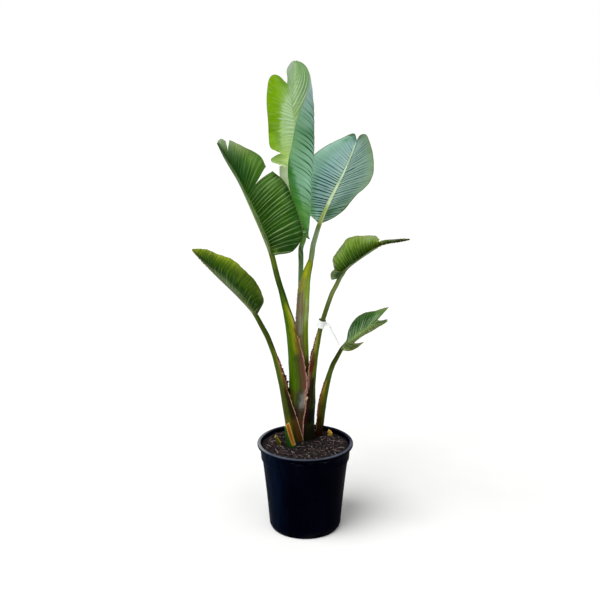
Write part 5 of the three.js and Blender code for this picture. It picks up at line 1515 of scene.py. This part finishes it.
def cut_drain_slots(pot):
    """Cuts a box through the pot's lower corner for each slot"""
    points, faces = [], []
    box = [(0, 1, 3, 2), (4, 6, 7, 5), (0, 4, 5, 1), (2, 3, 7, 6), (0, 2, 6, 4), (1, 5, 7, 3)]
    for slot in range(DRAIN_SLOTS):
        turn = 2 * math.pi * (slot + 0.5) / DRAIN_SLOTS
        faces.extend(tuple(len(points) + k for k in face) for face in box)
        for radius in DRAIN_SLOT_RADII:
            for side in (-DRAIN_SLOT_WIDTH / 2, DRAIN_SLOT_WIDTH / 2):
                x = radius * math.cos(turn) - side * math.sin(turn)
                y = radius * math.sin(turn) + side * math.cos(turn)
                points.extend((x, y, height) for height in DRAIN_SLOT_HEIGHTS)
    cutter = new_piece("drain_slot_cutter", points, faces, smooth=False)
    cut = pot.modifiers.new("drain_slots", "BOOLEAN")
    cut.operation, cut.solver, cut.object = "DIFFERENCE", "EXACT", cutter
    settle(pot)
    bpy.data.objects.remove(cutter)


def settle(piece):
    """Makes the piece's modifiers part of its plain mesh"""
    seen = piece.evaluated_get(bpy.context.evaluated_depsgraph_get())
    mesh = bpy.data.meshes.new_from_object(seen)
    piece.modifiers.clear()
    piece.data = mesh


# Potting mix

def soil_height(x, y):
    """The same lumps as the solid's, in metres"""
    a, b = x / MM, y / MM
    lumps = (np.sin(a * 0.11 + 1.3) * np.cos(b * 0.13)
             + 0.7 * np.sin(a * 0.23 - b * 0.19 + 0.6) + 0.5 * np.cos(a * 0.31 + b * 0.37))
    radius = np.hypot(x, y)
    away = np.hypot(x - SOIL_MOUND_PLACE[0], y - SOIL_MOUND_PLACE[1]) / SOIL_MOUND_REACH
    return (SOIL_TOP - SOIL_EDGE_DROP * (radius / RIM_RADIUS) ** 2
            + SOIL_MOUND_HEIGHT * np.exp(-away ** 2) + SOIL_LUMP * lumps / 2.2)


def make_soil():
    """Lumpy top, and sides that follow the inside of the pot"""
    corners = circle(SOIL_SIDES)
    points = [(0, 0, SOIL_SIDE[0][1] * MM)]
    for radius, height in SOIL_SIDE:
        points.extend((radius * MM * x, radius * MM * y, height * MM) for x, y in corners)
    for ring in range(SOIL_RINGS, 0, -1):
        radius = SOIL_RADIUS * ring / SOIL_RINGS * (1 if ring == SOIL_RINGS else 0.995)
        for corner_x, corner_y in corners:
            x, y = radius * corner_x, radius * corner_y
            crumb = sum(height * noise.noise(Vector((x, y, level)) * fineness)
                        for height, fineness, level in SOIL_CRUMBS)
            points.append((x, y, float(soil_height(x, y)) + crumb * MM))
    points.append((0, 0, float(soil_height(0, 0))))
    faces = turned_faces(len(SOIL_SIDE) + SOIL_RINGS, SOIL_SIDES)
    finish_piece(new_piece("potting_mix_body", points, faces, mix_finish()), "soil")


class Growth(Nodes):
    """A geometry node tree with named inputs"""

    def __init__(self, name, numbers):
        super().__init__(bpy.data.node_groups.new(name, "GeometryNodeTree"))
        self.socket("Geometry", "Geometry")
        self.keys = {label: self.socket(label, "Int" if isinstance(value, int) else "Float")
                     for label, value in numbers.items()}
        self.socket("Geometry", "Geometry", "OUTPUT")
        self.inputs = self.add("NodeGroupInput").outputs
        self.numbers = numbers

    def socket(self, label, kind, in_out="INPUT"):
        return self.tree.interface.new_socket(
            name=label, in_out=in_out, socket_type=f"NodeSocket{kind}").identifier

    def finish(self, geometry, material):
        """Ends the tree in real meshes with their material"""
        real = self.add("GeometryNodeRealizeInstances", {"Geometry": geometry}).outputs[0]
        done = self.add("GeometryNodeSetMaterial", {"Geometry": real, "Material": material})
        self.add("NodeGroupOutput", {0: done.outputs[0]})

    def grow_on(self, base, name):
        """Runs the tree on a copy of a mesh and returns the result as a plain mesh object"""
        piece = bpy.data.objects.new(name, base.copy())
        bpy.context.scene.collection.objects.link(piece)
        modifier = piece.modifiers.new(name, "NODES")
        modifier.node_group = self.tree
        for label, value in self.numbers.items():
            modifier[self.keys[label]] = value
        settle(piece)
        return piece


def scattered_on_soil(name, numbers, form, material):
    """Tree that lays small forms on an upward surface, each turned, sized and shaded by chance"""
    t = Growth(name, numbers)
    numbers = t.inputs
    spots = t.add("GeometryNodeDistributePointsOnFaces", {
        "Mesh": numbers["Geometry"], "Density": numbers["Per square metre"],
        "Seed": numbers["Seed"]})
    turn = t.add("FunctionNodeRandomValue", {0: (-0.5, -0.5, -3.15), 1: (0.5, 0.5, 3.15),
                                             "Seed": numbers["Seed"]}, data_type="FLOAT_VECTOR")
    size = t.add("FunctionNodeRandomValue", {2: numbers["Least size"], 3: numbers["Most size"],
                                             "Seed": numbers["Seed"]}, data_type="FLOAT")
    placed = t.add("GeometryNodeInstanceOnPoints", {
        "Points": spots.outputs[0], "Instance": form(t),
        "Rotation": turn.outputs[0], "Scale": size.outputs[1]}).outputs[0]
    shade = t.add("FunctionNodeRandomValue", {"Seed": 11}, data_type="FLOAT").outputs[1]
    stored = t.add("GeometryNodeStoreNamedAttribute", {
        "Geometry": placed, "Name": "shade", "Value": shade},
        data_type="FLOAT", domain="INSTANCE").outputs[0]
    t.finish(stored, material)
    return t


def bark_bit(t):
    """Flat angular crumb, one unit long"""
    ball = t.add("GeometryNodeMeshIcoSphere", {"Radius": 0.5, "Subdivisions": 1}).outputs[0]
    return t.add("GeometryNodeTransform", {
        "Geometry": ball, "Scale": (1.0, 0.6, 0.38)}).outputs[0]


def root_fibre(t):
    """Bent thread, one unit long"""
    bend = t.add("GeometryNodeCurveQuadraticBezier", {
        "Resolution": 6, "Start": (-0.5, 0, 0.02), "Middle": (0.05, 0.3, 0.16),
        "End": (0.5, -0.05, 0.0)}).outputs[0]
    round_it = t.add("GeometryNodeCurvePrimitiveCircle", {"Resolution": 4,
                                                          "Radius": 0.018}).outputs[0]
    return t.add("GeometryNodeCurveToMesh", {
        "Curve": bend, "Profile Curve": round_it, "Fill Caps": True}).outputs[0]


def soil_patch():
    """Top of the potting mix that the bits lie on, clear of the stalks' feet"""
    span = SOIL_RADIUS - SOIL_PATCH_EDGE
    grid = np.linspace(-span, span, SOIL_PATCH_LINES)
    index, points, faces = {}, [], []
    for row, y in enumerate(grid):
        for column, x in enumerate(grid):
            clear = all(((x / MM - cx) / rx) ** 2 + ((y / MM - cy) / ry) ** 2 > 1
                        for cx, cy, rx, ry in FEET)
            if math.hypot(x, y) < span and clear:
                index[row, column] = len(points)
                points.append((x, y, float(soil_height(x, y)) + SOIL_PATCH_LIFT))
    for row, column in list(index):
        corners = [(row, column), (row, column + 1), (row + 1, column + 1), (row + 1, column)]
        if all(corner in index for corner in corners):
            faces.append(tuple(index[corner] for corner in corners))
    mesh = bpy.data.meshes.new("soil_patch")
    mesh.from_pydata(points, [], faces)
    return mesh


def make_soil_bits():
    """Bark bits and root fibres that lie on the potting mix"""
    ground = soil_patch()
    for name, numbers, form, material in (
        ("bark_bits", {"Per square metre": 26000.0, "Least size": 0.0035, "Most size": 0.011,
                       "Seed": 4}, bark_bit,
         bits_finish("bark", "#080505", "#342624", "#8a7876")),
        ("root_fibres", {"Per square metre": 5200.0, "Least size": 0.012, "Most size": 0.034,
                         "Seed": 9}, root_fibre,
         bits_finish("fibre", "#2a2020", "#857070", "#c0b2b2")),
    ):
        piece = scattered_on_soil(name, numbers, form, material).grow_on(ground, name)
        piece.data.materials.clear()
        piece.data.materials.append(material)
        finish_piece(piece)
    bpy.data.meshes.remove(ground)


# Cut stubs

def make_stub(name, stub):
    """Stub of an old leaf: green skin, and a slanting cut with rings of fibre"""
    foot, half, lean, top = [stub[key] for key in ("foot", "half", "lean", "top")]
    skin_low, skin, rind, middle, heart = [np.array(paint(code)) for code in stub["colours"]]
    right_x, right_y, left_x, left_y = stub["fall"]
    low = SOIL_TOP / MM - STUB_DEPTH
    lowest_cut = low + STUB_DEPTH + STUB_LOWEST_CUT
    points, tints, fibres = [], [], []

    def add(share, away, colour):
        for corner_x, corner_y in circle(STUB_SIDES):
            right = half[0] * away * corner_x - stub["peak"]
            front = half[1] * (1 - away * corner_y)
            drop = max(right_x * right + right_y * front, -left_x * right + left_y * front)
            z = low + (max(lowest_cut, top - drop) - low) * share
            rise = (z - low) / (top - low)
            size = (1 - (1 - STUB_TAPER) * rise) * away
            x = foot[0] + lean[0] * rise + corner_x * half[0] * size
            y = foot[1] + lean[1] * rise + corner_y * half[1] * size
            if away < 1:
                z -= CUT_SINK * math.sin(math.pi * away) - CUT_RINGS_RISE * math.cos(18 * away)
            points.append((x * MM, y * MM, z * MM))
            shade = 1 if away == 1 else CUT_SHADE + (1 - CUT_SHADE) * rise
            tints.append((*(colour * shade), 1))
            fibres.append((corner_x * 2 * away, corner_y * 2 * away, share * 2))

    for share in np.arange(STUB_LEVELS) / (STUB_LEVELS - 1):
        add(share, 1, skin_low * (1 - share) + skin * share)
    for ring in range(1, STUB_CUT_RINGS):
        colour = rind if ring == 1 else middle if ring < STUB_HEART_RING else heart
        add(1, 1 - ring / STUB_CUT_RINGS, colour)
    faces = outwards(np.array(points), tube_faces(STUB_LEVELS + STUB_CUT_RINGS - 1, STUB_SIDES))
    piece = new_piece(f"{name}_surface", points, faces, cut_finish(),
                      values={"tint": tints, "fibres": fibres})
    finish_piece(piece, name)


# Label

def make_label():
    """Blank strap: a band round the stalk of leaf_e, and a thin tail that hangs from it"""
    route = LEAVES["leaf_e"]["route"]
    share = 0.0
    while route.along(share)[2] < LABEL_HEIGHT * MM:
        share += 0.0005
    centre, way = route.along(share) + mm((LABEL_SHIFT, 0, 0)), route.way(share)
    side_x = unit(np.cross(way, (0, 1, 0)))
    side_y = np.cross(way, side_x)
    across_share = np.linspace(-0.5, 0.5, LABEL_COLUMNS)
    points = []
    for k in range(LABEL_SIDES):
        a = 2 * math.pi * k / LABEL_SIDES
        ray = side_x * math.cos(a) + side_y * math.sin(a)
        for column, reach in enumerate(across_share):
            crease = 0.25 * math.sin(3 * a + column) + 0.15 * math.sin(7 * a)
            points.append(centre + ray * (LABEL_RADIUS + LABEL_HALF_WALL + crease) * MM
                          + way * reach * LABEL_BAND * MM)
    faces = band_faces(0, LABEL_SIDES, LABEL_COLUMNS, closed=True)
    faces += band_faces(len(points), LABEL_TAIL_STEPS + 1, LABEL_COLUMNS)
    start = centre / MM + (LABEL_RADIUS, 0, 0)
    tail = Route([start, *LABEL_TAIL])
    for share in np.arange(LABEL_TAIL_STEPS + 1) / LABEL_TAIL_STEPS:
        along = tail.way(share)
        across = unit(np.array([-along[2], 0, along[0]]))
        width = LABEL_TAIL_WIDTH[0] + (LABEL_TAIL_WIDTH[1] - LABEL_TAIL_WIDTH[0]) * share ** 0.5
        points.extend(tail.along(share) + across * reach * width * MM for reach in across_share)
    body, body_faces, _ = thicken(np.array(points), np.array(faces), LABEL_THICKNESS * MM)
    finish_piece(new_piece("blank_label", body, body_faces, label_finish()), "label_strap")


# Stage

def make_camera():
    data = bpy.data.cameras.new("camera")
    data.sensor_width, data.lens = SENSOR_WIDTH, CAMERA_LENS
    camera = bpy.data.objects.new("camera", data)
    camera.location, camera.rotation_euler = CAMERA_PLACE, (CAMERA_TILT, 0, 0)
    bpy.context.scene.collection.objects.link(camera)
    bpy.context.scene.camera = camera


def make_lamp(name, towards, power, softness):
    """Far soft lamp that shines from one side over the whole stage"""
    data = bpy.data.lights.new(name, "SUN")
    data.energy, data.angle = power, math.radians(softness)
    lamp = bpy.data.objects.new(name, data)
    lamp.rotation_euler = Vector(towards).to_track_quat("Z", "Y").to_euler()
    bpy.context.scene.collection.objects.link(lamp)


def make_sky():
    """White backdrop, with a dimmer light of its own so that shadows stay soft but deep"""
    world = bpy.data.worlds.new("studio")
    world.use_nodes = True
    sky = Nodes(world.node_tree)
    sky.tree.nodes.clear()
    seen = sky.add("ShaderNodeLightPath").outputs["Is Camera Ray"]
    dim, white = [sky.add("ShaderNodeBackground", {"Strength": light, "Color": WHITE}).outputs[0]
                  for light in (SKY_LIGHT, BACKDROP_LIGHT)]
    both = sky.add("ShaderNodeMixShader", {0: seen, 1: dim, 2: white}).outputs[0]
    sky.add("ShaderNodeOutputWorld", {"Surface": both})
    bpy.context.scene.world = world


def make_stage():
    """Pale floor, sky and lamps"""
    corners = [(x * FLOOR_SIZE, y * FLOOR_SIZE, 0)
               for x, y in ((-0.5, -0.5), (0.5, -0.5), (0.5, 0.5), (-0.5, 0.5))]
    floor = new_piece("studio_floor", corners, [(0, 1, 2, 3)], floor_finish(), smooth=False)
    make_sky()
    bpy.context.scene.view_settings.view_transform = "Standard"
    for name, (towards, power, softness) in LAMPS.items():
        make_lamp(name, towards, power, softness)


def make_leaf(name, leaf):
    """One leaf, with the curves of its midrib and edges worked out first"""
    stalk = leaf["stalk"]
    route = Route([station[:3] for station in stalk] + leaf["midrib"])
    leaf["route"] = route
    leaf["foot_t"] = (len(stalk) - 1) / (len(stalk) + len(leaf["midrib"]) - 1)
    leaf["foot"] = float(route.share_at(leaf["foot_t"]))
    for lobe in leaf["left"]["lobes"] + leaf["right"]["lobes"]:
        lobe["curve"] = Route(lobe["edge"])
    make_blade(name, leaf)
    make_stalk(name, leaf)
    if COLOURS[name]["ragged"]:
        make_sheath_edges(name, leaf)


make_camera()
make_stage()
make_pot()
make_soil()
make_soil_bits()
for name, leaf in LEAVES.items():
    make_leaf(name, leaf)
for name, stub in STUBS.items():
    make_stub(name, stub)
make_label()
